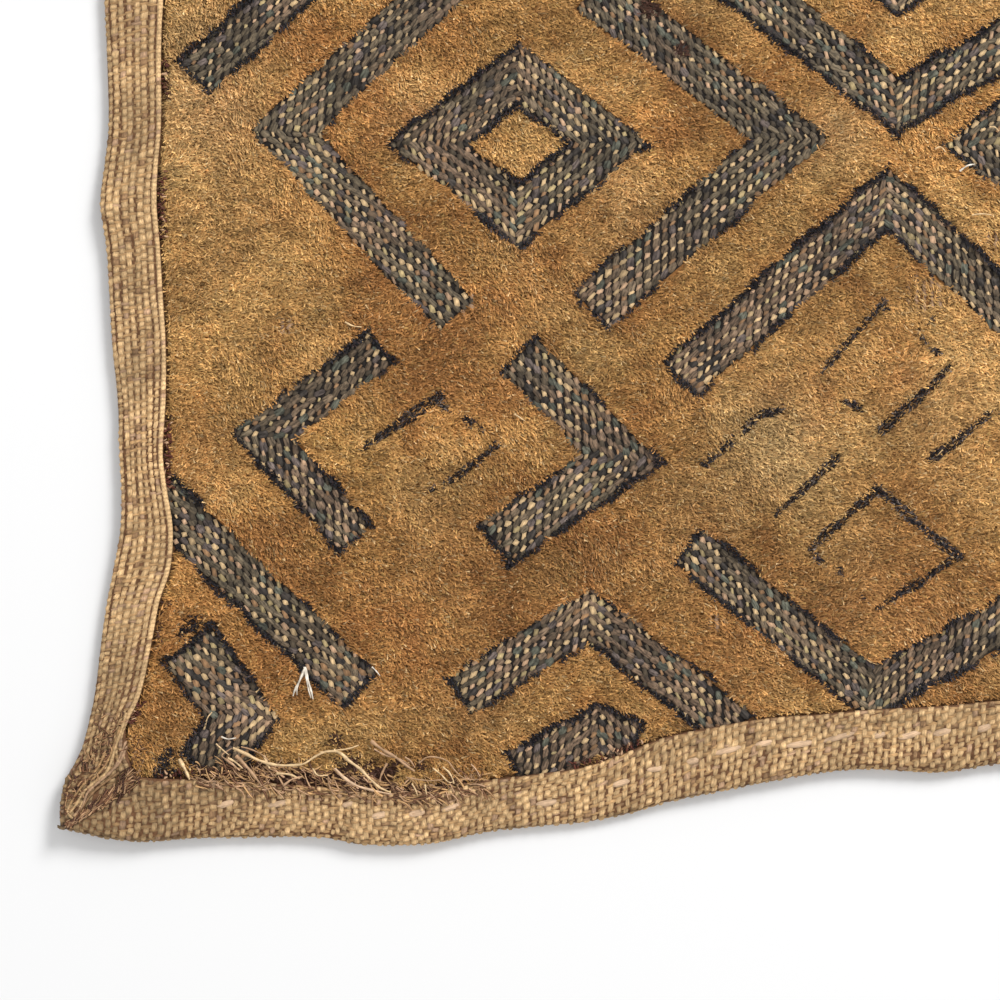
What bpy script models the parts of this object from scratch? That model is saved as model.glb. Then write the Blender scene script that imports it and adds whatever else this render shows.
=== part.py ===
"""Raffia cut-pile cloth, laid flat face up: one woven panel with its own edge turned over the face as a hem.

Millimetres in the tables, metres in the mesh. +Z is up, -Y is the edge nearest the viewer, and the origin is
the middle of the underside. The panel is one solid: a flat underside, a fold all the way round, the turned
edge lying a little above the face, and inside it the cut pile with the flat-stitched bands sunk into it.
"""

import math

import bmesh
import bpy
import numpy as np
from mathutils import Vector
from mathutils.geometry import delaunay_2d_cdt

MM = 0.001

# Sizes of the panel, in millimetres
HALF_WIDE = 250.0
HALF_HIGH = 270.0
PILE_TOP = 2.7
BAND_SINK = 0.9
BAND_WALL = 0.9
FIELD_GAP = 1.6
UNDERSIDE_IN = 9.0
FAN_CLEAR = 0.9
FAN_CROWD = 0.5
FAN_BLEND = 9.0
CORNER_HEM = 11.0
GRID_STEP = 30.0
NEAR_ROWS = 11.5
FAR_ROWS = 46.0
SEED = 7

# Each side: how far along it, how far its edge stands out, how wide its hem is, how high its edge lifts
LEFT = (
    # along, out, hem, lift
    (-1.0, 9.2, 10.2, 1.5),
    (3.8, 8.2, 8.6, 1.3),
    (9.0, 5.3, 8.0, 1.0),
    (15.2, 3.6, 8.2, 0.7),
    (20.8, 2.4, 9.6, 0.5),
    (30.8, 1.2, 10.6, 0.3),
    (39.8, -0.2, 10.9, 0.4),
    (46.0, -1.4, 11.8, 0.6),
    (54.0, -2.8, 11.0, 0.7),
    (62.0, -3.0, 9.6, 0.6),
    (69.0, -2.6, 9.2, 0.4),
    (80.0, -2.2, 10.1, 0.3),
    (90.0, -1.2, 11.2, 0.3),
    (100.0, -0.6, 11.2, 0.4),
    (111.0, 0.0, 11.2, 0.6),
    (119.0, 1.2, 11.7, 0.8),
    (127.0, 0.4, 11.2, 0.6),
    (134.0, -0.4, 11.0, 0.4),
    (150.0, 0.0, 11.4, 0.2),
    (165.0, 0.4, 12.4, 0.3),
    (200.0, -0.8, 12.0, 0.5),
    (245.0, -1.6, 11.2, 0.2),
    (300.0, -0.9, 11.6, 0.4),
    (352.0, -2.0, 11.0, 0.3),
    (404.0, -0.6, 11.8, 0.2),
    (452.0, 0.9, 12.2, 0.5),
    (492.0, 2.3, 11.8, 0.4),
    (522.0, 4.4, 11.2, 0.9),
    (538.0, 5.6, 11.4, 1.3),
)
BOTTOM = (
    # along, out, hem, lift
    (0.0, 7.6, 10.4, 1.5),
    (7.0, 8.4, 11.6, 1.0),
    (14.6, 8.0, 12.4, 0.6),
    (27.0, 7.6, 11.4, 0.3),
    (44.0, 7.8, 10.6, 0.3),
    (51.0, 9.1, 11.0, 0.5),
    (65.0, 8.8, 10.6, 0.6),
    (77.0, 6.4, 10.6, 0.4),
    (85.0, 5.6, 10.8, 0.2),
    (96.0, 4.6, 11.4, 0.2),
    (105.0, 2.8, 12.8, 0.3),
    (112.0, 0.7, 13.4, 0.5),
    (123.0, -1.6, 13.4, 0.7),
    (133.0, -3.6, 13.0, 0.6),
    (144.0, -5.4, 12.0, 0.4),
    (152.0, -6.0, 12.2, 0.3),
    (160.0, -5.6, 13.0, 0.3),
    (168.0, -5.4, 13.6, 0.3),
    (179.0, -7.0, 13.0, 0.2),
    (215.0, -8.2, 12.4, 0.3),
    (262.0, -8.6, 12.0, 0.4),
    (310.0, -6.9, 12.6, 0.3),
    (362.0, -4.2, 11.8, 0.2),
    (410.0, -1.4, 12.2, 0.5),
    (446.0, 1.4, 11.6, 0.3),
    (476.0, 4.6, 11.4, 0.7),
    (492.0, 6.6, 11.6, 1.0),
)
RIGHT = (
    # along, out, hem, lift
    (6.0, 6.0, 11.4, 1.0),
    (24.0, 4.2, 11.6, 0.6),
    (66.0, 1.4, 12.0, 0.3),
    (114.0, 0.4, 11.2, 0.4),
    (160.0, -1.6, 12.2, 0.2),
    (214.0, -2.0, 11.6, 0.4),
    (262.0, -3.0, 12.0, 0.3),
    (318.0, -1.7, 11.4, 0.2),
    (372.0, -2.1, 12.4, 0.5),
    (424.0, -0.2, 11.8, 0.3),
    (470.0, 1.0, 11.4, 0.4),
    (508.0, 3.4, 11.8, 0.7),
    (530.0, 5.2, 11.6, 1.1),
)
TOP = (
    # along, out, hem, lift
    (8.0, 5.0, 11.4, 1.0),
    (30.0, 3.0, 11.8, 0.5),
    (72.0, 1.2, 12.2, 0.3),
    (118.0, -0.9, 11.4, 0.2),
    (166.0, -1.2, 12.0, 0.4),
    (212.0, -2.9, 11.6, 0.3),
    (262.0, -2.4, 12.4, 0.2),
    (312.0, -3.1, 11.8, 0.5),
    (360.0, -1.2, 11.4, 0.3),
    (406.0, -0.4, 12.0, 0.3),
    (450.0, 1.9, 11.6, 0.5),
    (490.0, 4.8, 11.8, 1.1),
)
CORNERS = {
    # name: tip x, tip y, hem corner x, hem corner y, lift
    "lower_left": (-259.0, -275.6, -244.4, -265.2, 2.0),
    "lower_right": (256.6, -277.2, 243.2, -264.6, 1.4),
    "upper_right": (255.8, 275.4, 243.2, 263.4, 1.4),
    "upper_left": (-256.0, 275.2, -243.6, 263.4, 1.6),
}
# The hem in section, from the underside, out round the fold, back over the face and under again. A row is
# measured in from the outer fold ("out") or beyond the hem's inner edge ("hem", with minus for outward).
SECTION = (
    # from, inward, height
    ("hem", UNDERSIDE_IN, 0.0),
    ("out", 5.0, 0.0),
    ("out", 1.0, 0.08),
    ("out", 0.25, 0.5),
    ("out", 0.0, 1.2),
    ("out", 0.3, 2.0),
    ("out", 1.2, 2.45),
    ("out", 4.6, 2.65),
    ("hem", -3.2, 2.9),
    ("hem", -1.4, 3.45),
    ("hem", -0.35, 3.35),
    ("hem", 0.0, 2.95),
    ("hem", -0.4, 2.5),
    ("hem", -1.4, 2.25),
    ("out", 3.4, 1.65),
    ("out", 1.5, 1.4),
    ("out", 1.9, 1.05),
    ("hem", -3.0, 1.25),
    ("hem", -0.6, 1.7),
    ("hem", FIELD_GAP, PILE_TOP),
)

# Stitched bands that the photograph shows: two arms that leave one tip
CHEVRONS = (
    # tip x, tip y, first arm's direction and length, second arm's direction and length, width
    (-214.4, -136.0, 42, 47, -47, 48, 10.3),
    (-113.0, -137.4, 143, 50, -139, 53, 10.8),
    (-91.4, -131.0, 142, 55, 30, 50, 9.8),
    (-93.4, -149.6, -139, 55, -43, 64, 9.8),
    (-218.6, -197.2, 37, 30, -48, 28, 9.0),
    (-146.6, -201.6, 135, 31, -146, 32, 10.6),
    (-223.0, -253.2, 122, 27, -139, 19, 11.0),
    (-153.2, -233.0, -148, 31, -38, 38, 9.6),
    (-151.6, -256.0, -151, 18, -24, 10, 9.8),
    (-95.0, -248.0, 142, 51, 27, 58, 9.2),
    (-167.0, -76.0, 142, 42, 38, 42, 9.8),
    (-57.0, -71.0, 142, 40, 38, 40, 9.8),
)
BARS = (
    # end x, end y, direction, length, width
    (-232.4, -125.4, 42, 52, 9.3),
    (-240.0, -208.8, -44, 57, 10.4),
)
RINGS = (
    # centre x, centre y, half wide, half high, width
    (-167.2, -138.6, 18.2, 14.2, 10.4),
    (-56.2, -138.6, 18.0, 14.0, 10.4),
    (-91.4, -93.0, 18.0, 14.0, 9.8),
)
# Beyond the photograph the same motifs go on in rows, as a worker would space them
ROWS_BEYOND = (
    # first row's height, rows, first motif's place, motifs, every which ring is a thick one
    (-256.6, 5, -278.5, 5, 1),
    (-197.6, 4, -222.5, 5, 2),
)
PITCH_WIDE = 111.0
PITCH_HIGH = 118.0
CHARTED_RIGHT = -40.0
CHARTED_TOP = -65.0


def smooth_rows(rows, along):
    """The out, hem and lift of a side at a place along it, on a smooth curve through the rows."""
    places = [row[0] for row in rows]
    if along <= places[0]:
        return np.array(rows[0][1:])
    if along >= places[-1]:
        return np.array(rows[-1][1:])
    i = int(np.searchsorted(places, along, side="right")) - 1
    low, high = np.array(rows[i]), np.array(rows[i + 1])
    before = np.array(rows[max(i - 1, 0)])
    after = np.array(rows[min(i + 2, len(rows) - 1)])
    span = high[0] - low[0]
    t = (along - low[0]) / span
    slope_low = (high - before)[1:] / max(high[0] - before[0], 1e-6) * span
    slope_high = (after - low)[1:] / max(after[0] - low[0], 1e-6) * span
    a = 2 * t**3 - 3 * t**2 + 1
    b = t**3 - 2 * t**2 + t
    c = -2 * t**3 + 3 * t**2
    d = t**3 - t**2
    return a * low[1:] + b * slope_low + c * high[1:] + d * slope_high


def side_place(side, along, out):
    """A point on a side's edge line, moved outward."""
    return {
        "bottom": (along - HALF_WIDE, -HALF_HIGH - out),
        "right": (HALF_WIDE + out, along - HALF_HIGH),
        "top": (along - HALF_WIDE, HALF_HIGH + out),
        "left": (-HALF_WIDE - out, along - HALF_HIGH),
    }[side]


INWARD = {"bottom": (0, 1), "right": (-1, 0), "top": (0, -1), "left": (1, 0)}
RUN = (
    # side, rows, corner it starts from, corner it ends at, whether its rows run with it
    ("bottom", BOTTOM, "lower_left", "lower_right", True),
    ("right", RIGHT, "lower_right", "upper_right", True),
    ("top", TOP, "upper_right", "upper_left", False),
    ("left", LEFT, "upper_left", "lower_left", False),
)


def side_stations(side, rows, first, last):
    """The stations of a side, rising along it, each with the two corners that it lies between."""
    places = []
    for low, high in zip(rows, rows[1:]):
        places.append(low[0])
        if high[0] - low[0] > NEAR_ROWS:
            places.append((low[0] + high[0]) / 2)
        if high[0] - low[0] > FAR_ROWS:
            places += [low[0] * 0.75 + high[0] * 0.25, low[0] * 0.25 + high[0] * 0.75]
    stations = []
    for along in sorted(places + [rows[-1][0]]):
        out, hem, lift = smooth_rows(rows, along)
        edge = np.array(side_place(side, along, out))
        stations.append((side, edge, hem, lift, (first, last)))
    return stations


def all_stations():
    """The stations round the whole panel, anticlockwise from the lower left corner."""
    found = []
    for side, rows, start, end, with_rows in RUN:
        ends = (CORNERS[start], CORNERS[end])
        low, high = ends if with_rows else ends[::-1]
        stations = side_stations(side, rows, low, high)
        corner = CORNERS[start]
        found.append(("corner", np.array(corner[0:2]), CORNER_HEM, corner[4], (corner,)))
        found += stations if with_rows else stations[::-1]
    return found


def inward_point(station, beyond):
    """Where a station meets the line that runs round the panel this far inside the hem's inner edge."""
    side, edge, hem, _, corners = station
    if side == "corner":
        bend = np.array(corners[0][2:4])
        return bend - np.sign(bend) * beyond
    point = edge + (hem + beyond) * np.array(INWARD[side])
    axis = 1 if INWARD[side][0] else 0
    for corner, above in zip(corners, (1, -1)):
        bend = np.array(corner[2:4])
        bend = bend - np.sign(bend) * beyond
        clear = (point[axis] - bend[axis]) * above
        if clear < FAN_CLEAR:
            point[axis] = bend[axis] + above * FAN_CLEAR / (1 + FAN_CROWD * (FAN_CLEAR - clear))
        if clear < FAN_BLEND:
            share = soft_step(clear / FAN_BLEND)
            point[1 - axis] = bend[1 - axis] + (point[1 - axis] - bend[1 - axis]) * share
    return point


def soft_step(t):
    """0 below 0, 1 above 1, and smooth between."""
    t = min(max(t, 0.0), 1.0)
    return t * t * (3 - 2 * t)


def waver(x, y):
    """The slight unevenness of a hand-made face, in millimetres."""
    wide = math.sin(x / 31.0 + 0.7) * math.cos(y / 27.0 - 0.4)
    fine = math.sin(x / 11.0 - y / 17.0 + 1.9)
    return 0.16 * wide + 0.07 * fine


def section_points(station):
    """The points of the hem's section at a station."""
    _, edge, hem, lift, _ = station
    inner = inward_point(station, 0.0)
    points = []
    for start, inward, height in SECTION:
        d = inward if start == "out" else hem + inward
        place = edge + (inner - edge) * d / hem if d <= hem else inward_point(station, d - hem)
        z = height + lift * (1 - soft_step(d / (hem + UNDERSIDE_IN - 1)))
        if height > 2.0:
            z += waver(*place)
        points.append((place[0], place[1], z))
    return points


def arm_point(x, y, direction, length):
    """The far end of an arm."""
    turn = math.radians(direction)
    return (x + length * math.cos(turn), y + length * math.sin(turn))


def rough(rng, value, by):
    """A size with a worker's unevenness."""
    return value + by * (rng.random() * 2 - 1)


def chart():
    """Every stitched band as its centre line, its width and whether it closes."""
    bands = []
    for x, y, turn, length, turn2, length2, width in CHEVRONS:
        line = [arm_point(x, y, turn, length), (x, y), arm_point(x, y, turn2, length2)]
        bands.append((line, width, False))
    for x, y, turn, length, width in BARS:
        bands.append(([(x, y), arm_point(x, y, turn, length)], width, False))
    for x, y, wide, high, width in RINGS:
        bands.append((ring_line(x, y, wide, high), width, True))
    return bands + chart_beyond()


def ring_line(x, y, wide, high):
    """The centre line of a ring diamond."""
    return [(x - wide, y), (x, y + high), (x + wide, y), (x, y - high)]


def charted(x, y):
    """Whether the tables above already hold the motif for this place."""
    return x < CHARTED_RIGHT and y < CHARTED_TOP


def chart_beyond():
    """The bands past the photograph's frame: ring diamonds in rows, with a crossing between each two."""
    rng = np.random.default_rng(SEED)
    bands = []
    for first_high, rows, first_wide, motifs, every in ROWS_BEYOND:
        for row in range(rows):
            for motif in range(motifs):
                x = rough(rng, first_wide + motif * PITCH_WIDE, 2.0)
                y = rough(rng, first_high + row * PITCH_HIGH, 2.0)
                wide, high = rough(rng, 18, 1.5), rough(rng, 14, 1.5)
                if not charted(x, y) and abs(x) < HALF_WIDE and (row + motif) % every == 0:
                    bands.append((ring_line(x, y, wide, high), 10.0, True))
                x += PITCH_WIDE / 2
                for tip, turn, turn2 in ((8, 142, 38), (-8, -140, -41)):
                    turn, turn2 = rough(rng, turn, 3), rough(rng, turn2, 3)
                    length, length2 = rough(rng, 40, 4), rough(rng, 40, 4)
                    if charted(x, y) or abs(x) > HALF_WIDE - 6:
                        continue
                    first, last = arm_point(x, y + tip, turn, length), arm_point(x, y + tip, turn2, length2)
                    bands.append(([first, (x, y + tip), last], 9.8, False))
    return bands


def outlines(line, width, closed, inset):
    """The outline loops of a band, drawn in by an inset."""
    points = [np.array(p, float) for p in line]
    half = width / 2 - inset
    if not closed:
        first = (points[1] - points[0]) / np.linalg.norm(points[1] - points[0])
        last = (points[-1] - points[-2]) / np.linalg.norm(points[-1] - points[-2])
        points[0] = points[0] + first * inset
        points[-1] = points[-1] - last * inset
    count = len(points)
    left, right = [], []
    for i, point in enumerate(points):
        before = points[(i - 1) % count] if closed or i else None
        after = points[(i + 1) % count] if closed or i < count - 1 else None
        into = after - point if before is None else point - before
        away = point - before if after is None else after - point
        into, away = into / np.linalg.norm(into), away / np.linalg.norm(away)
        side = np.array((-into[1] - away[1], into[0] + away[0]))
        side = side / np.linalg.norm(side)
        reach = half / max(side @ np.array((-into[1], into[0])), 0.35)
        left.append(point + side * reach)
        right.append(point - side * reach)
    return [left, right] if closed else [left + right[::-1]]


def sink_at(x, y, bands):
    """How far the face is sunk at a place, from 0 in the pile to 1 in a band."""
    deepest = 0.0
    for line, width, closed in bands:
        count = len(line)
        for i in range(count if closed else count - 1):
            ax, ay = line[i]
            bx, by = line[(i + 1) % count]
            dx, dy = bx - ax, by - ay
            length = math.hypot(dx, dy)
            along = ((x - ax) * dx + (y - ay) * dy) / length
            across = abs((x - ax) * dy - (y - ay) * dx) / length
            before = width * 0.75 if closed or i else 0.0
            after = width * 0.75 if closed or i < count - 2 else 0.0
            past = max(-along - before, along - length - after)
            deepest = max(deepest, min((width / 2 - across) / BAND_WALL, -past / BAND_WALL, 1.0))
    return deepest


def face_height(x, y, bands):
    """How high the face stands at a place inside the hem."""
    return PILE_TOP + waver(x, y) - BAND_SINK * sink_at(x, y, bands)


def inside(point, loop):
    """Whether a point lies inside a closed loop."""
    x, y = point
    hit = False
    for (ax, ay), (bx, by) in zip(loop, loop[1:] + loop[:1]):
        if (ay > y) != (by > y) and x < (bx - ax) * (y - ay) / (by - ay) + ax:
            hit = not hit
    return hit


def kept_part(a, b, loop):
    """The part of a line that lies inside a loop, or nothing."""
    steps = 24
    flags = [inside(a + (b - a) * i / steps, loop) for i in range(steps + 1)]
    if not any(flags):
        return None
    first, last = flags.index(True), steps - flags[::-1].index(True)
    if last - first < 3:
        return None
    return a + (b - a) * first / steps, a + (b - a) * last / steps


def face_triangles(rim, bands):
    """The face inside the rim: its points and triangles, with the rim's points first."""
    points = [np.array(p) for p in rim]
    edges = [(i, (i + 1) % len(rim)) for i in range(len(rim))]
    middle = np.mean(points, axis=0)
    safe = [tuple(p + (middle - p) / np.linalg.norm(middle - p) * 2.5) for p in points]
    for line, width, closed in bands:
        for inset in (0.0, BAND_WALL):
            for loop in outlines(line, width, closed, inset):
                for a, b in zip(loop, loop[1:] + loop[:1]):
                    part = kept_part(a, b, safe)
                    if part:
                        edges.append((len(points), len(points) + 1))
                        points += list(part)
    x = -HALF_WIDE
    while x < HALF_WIDE:
        y = -HALF_HIGH + GRID_STEP / 2 * (round(x / GRID_STEP) % 2)
        while y < HALF_HIGH:
            if inside((x, y), safe) and sink_at(x, y, bands) in (0.0, 1.0):
                points.append(np.array((x, y)))
            y += GRID_STEP
        x += GRID_STEP
    flat = [Vector(p) for p in points]
    out, _, faces, first_of, _, _ = delaunay_2d_cdt(flat, edges, [], 1, 0.02)
    rim_of = {}
    for i, origins in enumerate(first_of):
        for origin in origins:
            if origin < len(rim):
                rim_of[origin] = i
    centre = [(out[a] + out[b] + out[c]) / 3 for a, b, c in faces]
    faces = [f for f, c in zip(faces, centre) if inside(tuple(c), [tuple(p) for p in rim])]
    return [tuple(p) for p in out], faces, rim_of


def panel_mesh():
    """Points and faces of the whole panel, in millimetres."""
    bands = chart()
    stations = all_stations()
    loops = [section_points(s) for s in stations]
    rows, count = len(SECTION), len(stations)
    rim = []
    for i, loop in enumerate(loops):
        x, y, _ = loop[-1]
        loops[i][-1] = (x, y, face_height(x, y, bands))
        rim.append((x, y))
    points = [p for loop in loops for p in loop]
    faces = []
    for i in range(count):
        j = (i + 1) % count
        for k in range(rows - 1):
            faces.append((i * rows + k, i * rows + k + 1, j * rows + k + 1, j * rows + k))
    faces.append(tuple(i * rows for i in range(count)))
    flat, triangles, rim_of = face_triangles(rim, bands)
    taken = {flat_i: i * rows + rows - 1 for i, flat_i in rim_of.items()}
    for i, (x, y) in enumerate(flat):
        if i not in taken:
            taken[i] = len(points)
            points.append((x, y, face_height(x, y, bands)))
    faces += [tuple(taken[v] for v in triangle) for triangle in triangles]
    return points, faces


def make_object(name, points, faces, colour):
    """One closed solid, centred on its underside, with its own material."""
    spots = np.array(points)
    low, high = spots.min(axis=0), spots.max(axis=0)
    spots -= ((low[0] + high[0]) / 2, (low[1] + high[1]) / 2, low[2])
    spots *= MM
    mesh = bpy.data.meshes.new(name)
    work = bmesh.new()
    verts = [work.verts.new(p) for p in spots]
    for face in faces:
        work.faces.new([verts[i] for i in face])
    bmesh.ops.triangulate(work, faces=work.faces[:])
    bmesh.ops.recalc_face_normals(work, faces=work.faces[:])
    work.to_mesh(mesh)
    work.free()
    material = bpy.data.materials.new(name + "_raffia")
    material.use_nodes = True
    shader = material.node_tree.nodes["Principled BSDF"]
    shader.inputs["Base Color"].default_value = colour
    shader.inputs["Roughness"].default_value = 0.85
    mesh.materials.append(material)
    made = bpy.data.objects.new(name, mesh)
    bpy.context.scene.collection.objects.link(made)
    return made


for old in list(bpy.data.objects):
    bpy.data.objects.remove(old)
panel_points, panel_faces = panel_mesh()
make_object("hemmed_panel", panel_points, panel_faces, (0.43, 0.27, 0.12, 1.0))
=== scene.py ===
"""Looks of the hemmed raffia panel: woven hem, cut pile, flat-stitched bands, stitches and loose strands.

Tables are in millimetres, in the same plan as the part's source. PLAN_MIDDLE puts them in the row's frame.
"""

import math
from itertools import chain

import bmesh
import bpy
import numpy as np
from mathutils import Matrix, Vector
from mathutils.bvhtree import BVHTree
from mathutils.geometry import delaunay_2d_cdt


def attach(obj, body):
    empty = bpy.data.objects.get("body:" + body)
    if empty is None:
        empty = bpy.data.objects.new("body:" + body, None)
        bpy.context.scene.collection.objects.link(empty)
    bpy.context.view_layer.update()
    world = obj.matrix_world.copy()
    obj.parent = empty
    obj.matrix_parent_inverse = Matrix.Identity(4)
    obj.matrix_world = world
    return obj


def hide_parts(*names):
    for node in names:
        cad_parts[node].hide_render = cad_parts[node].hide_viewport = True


MM = 0.001
PLAN_MIDDLE = (-1.3, -1.90753205)
HALF_WIDE = 250.0
HALF_HIGH = 270.0
PILE_TOP = 2.7
UNDERSIDE_IN = 9.0
FAN_CLEAR = 0.9
FAN_CROWD = 0.5
FAN_BLEND = 9.0
CORNER_HEM = 11.0
CORNER_REACH = 26.0
UNDER_HEM = 0.8
SEED = 7
RAY_START = 9.0

# The part of the plan that the photograph shows, which gets the finest work
PHOTO_LEFT, PHOTO_RIGHT = -271.0, -71.0
PHOTO_BOTTOM, PHOTO_TOP = -310.0, -110.0

# Each side: how far along it, how far its edge stands out, how wide its hem is, how high its edge lifts
LEFT = (
    # along, out, hem, lift
    (-1.0, 9.2, 10.2, 1.5),
    (3.8, 8.2, 8.6, 1.3),
    (9.0, 5.3, 8.0, 1.0),
    (15.2, 3.6, 8.2, 0.7),
    (20.8, 2.4, 9.6, 0.5),
    (30.8, 1.2, 10.6, 0.3),
    (39.8, -0.2, 10.9, 0.4),
    (46.0, -1.4, 11.8, 0.6),
    (54.0, -2.8, 11.0, 0.7),
    (62.0, -3.0, 9.6, 0.6),
    (69.0, -2.6, 9.2, 0.4),
    (80.0, -2.2, 10.1, 0.3),
    (90.0, -1.2, 11.2, 0.3),
    (100.0, -0.6, 11.2, 0.4),
    (111.0, 0.0, 11.2, 0.6),
    (119.0, 1.2, 11.7, 0.8),
    (127.0, 0.4, 11.2, 0.6),
    (134.0, -0.4, 11.0, 0.4),
    (150.0, 0.0, 11.4, 0.2),
    (165.0, 0.4, 12.4, 0.3),
    (200.0, -0.8, 12.0, 0.5),
    (245.0, -1.6, 11.2, 0.2),
    (300.0, -0.9, 11.6, 0.4),
    (352.0, -2.0, 11.0, 0.3),
    (404.0, -0.6, 11.8, 0.2),
    (452.0, 0.9, 12.2, 0.5),
    (492.0, 2.3, 11.8, 0.4),
    (522.0, 4.4, 11.2, 0.9),
    (538.0, 5.6, 11.4, 1.3),
)
BOTTOM = (
    # along, out, hem, lift
    (0.0, 7.6, 10.4, 1.5),
    (7.0, 8.4, 11.6, 1.0),
    (14.6, 8.0, 12.4, 0.6),
    (27.0, 7.6, 11.4, 0.3),
    (44.0, 7.8, 10.6, 0.3),
    (51.0, 9.1, 11.0, 0.5),
    (65.0, 8.8, 10.6, 0.6),
    (77.0, 6.4, 10.6, 0.4),
    (85.0, 5.6, 10.8, 0.2),
    (96.0, 4.6, 11.4, 0.2),
    (105.0, 2.8, 12.8, 0.3),
    (112.0, 0.7, 13.4, 0.5),
    (123.0, -1.6, 13.4, 0.7),
    (133.0, -3.6, 13.0, 0.6),
    (144.0, -5.4, 12.0, 0.4),
    (152.0, -6.0, 12.2, 0.3),
    (160.0, -5.6, 13.0, 0.3),
    (168.0, -5.4, 13.6, 0.3),
    (179.0, -7.0, 13.0, 0.2),
    (215.0, -8.2, 12.4, 0.3),
    (262.0, -8.6, 12.0, 0.4),
    (310.0, -6.9, 12.6, 0.3),
    (362.0, -4.2, 11.8, 0.2),
    (410.0, -1.4, 12.2, 0.5),
    (446.0, 1.4, 11.6, 0.3),
    (476.0, 4.6, 11.4, 0.7),
    (492.0, 6.6, 11.6, 1.0),
)
RIGHT = (
    # along, out, hem, lift
    (6.0, 6.0, 11.4, 1.0),
    (24.0, 4.2, 11.6, 0.6),
    (66.0, 1.4, 12.0, 0.3),
    (114.0, 0.4, 11.2, 0.4),
    (160.0, -1.6, 12.2, 0.2),
    (214.0, -2.0, 11.6, 0.4),
    (262.0, -3.0, 12.0, 0.3),
    (318.0, -1.7, 11.4, 0.2),
    (372.0, -2.1, 12.4, 0.5),
    (424.0, -0.2, 11.8, 0.3),
    (470.0, 1.0, 11.4, 0.4),
    (508.0, 3.4, 11.8, 0.7),
    (530.0, 5.2, 11.6, 1.1),
)
TOP = (
    # along, out, hem, lift
    (8.0, 5.0, 11.4, 1.0),
    (30.0, 3.0, 11.8, 0.5),
    (72.0, 1.2, 12.2, 0.3),
    (118.0, -0.9, 11.4, 0.2),
    (166.0, -1.2, 12.0, 0.4),
    (212.0, -2.9, 11.6, 0.3),
    (262.0, -2.4, 12.4, 0.2),
    (312.0, -3.1, 11.8, 0.5),
    (360.0, -1.2, 11.4, 0.3),
    (406.0, -0.4, 12.0, 0.3),
    (450.0, 1.9, 11.6, 0.5),
    (490.0, 4.8, 11.8, 1.1),
)
CORNERS = {
    # name: tip x, tip y, hem corner x, hem corner y, lift
    "lower_left": (-259.0, -275.6, -244.4, -265.2, 2.0),
    "lower_right": (256.6, -277.2, 243.2, -264.6, 1.4),
    "upper_right": (255.8, 275.4, 243.2, 263.4, 1.4),
    "upper_left": (-256.0, 275.2, -243.6, 263.4, 1.6),
}
# The hem in section under its woven strands, as in the part's source but a little lower on top
SECTION = (
    # from, inward, height
    ("hem", UNDERSIDE_IN, 0.02),
    ("out", 5.0, 0.02),
    ("out", 1.1, 0.1),
    ("out", 0.4, 0.5),
    ("out", 0.2, 1.15),
    ("out", 0.45, 1.85),
    ("out", 1.2, 2.25),
    ("out", 4.6, 2.42),
    ("hem", -3.2, 2.62),
    ("hem", -1.4, 3.1),
    ("hem", -0.45, 3.05),
    ("hem", -0.15, 2.75),
    ("hem", -0.45, 2.45),
    ("hem", -1.4, 2.2),
    ("out", 3.4, 1.65),
    ("out", 1.6, 1.4),
    ("out", 1.9, 1.05),
    ("hem", -3.0, 1.2),
    ("hem", -0.6, 1.4),
    ("hem", 1.6, 1.45),
)
# The way that the strands lie over the hem, from the foot of its outer fold to under its inner edge
OVER_HEM = (
    # share of the hem's width, inward, height
    (0.0, 0.5, 0.3),
    (0.0, 0.12, 0.75),
    (0.0, 0.05, 1.3),
    (0.0, 0.35, 1.9),
    (0.0, 1.2, 2.32),
    (0.4, 0.0, 2.5),
    (0.72, 0.0, 2.72),
    (1.0, -1.5, 3.16),
    (1.0, -0.6, 3.2),
    (1.0, -0.05, 2.95),
    (1.0, -0.1, 2.55),
)
RIB_ROW = 8
HEM_USUAL = 11.5

# Stitched bands that the photograph shows: two arms that leave one tip
CHEVRONS = (
    # tip x, tip y, first arm's direction and length, second arm's direction and length, width
    (-214.4, -136.0, 42, 47, -47, 51, 10.3),
    (-113.0, -137.4, 143, 50, -139, 53, 10.8),
    (-91.4, -131.0, 142, 55, 30, 50, 9.8),
    (-93.4, -149.6, -139, 55, -43, 64, 9.8),
    (-218.6, -197.2, 37, 30, -48, 28, 9.0),
    (-146.6, -201.6, 135, 29.5, -146, 31, 10.6),
    (-222.6, -253.6, 126.5, 18.6, -126, 13, 12.2),
    (-153.2, -233.0, -148, 31, -38, 38, 9.6),
    (-151.6, -256.0, -151, 18, -24, 8, 9.8),
    (-96.8, -248.7, 141, 47.2, 28.5, 58, 9.4),
    (-167.0, -76.0, 142, 42, 38, 42, 9.8),
    (-57.0, -71.0, 142, 40, 38, 40, 9.8),
)
BARS = (
    # end x, end y, direction, length, width
    (-232.4, -125.4, 42, 52, 9.3),
    (-240.0, -208.8, -44, 57, 10.4),
)
RINGS = (
    # centre x, centre y, half wide, half high, width
    (-167.2, -138.6, 18.2, 14.2, 10.4),
    (-56.2, -138.6, 18.0, 14.0, 10.4),
    (-91.4, -93.0, 18.0, 14.0, 9.8),
)
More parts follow.
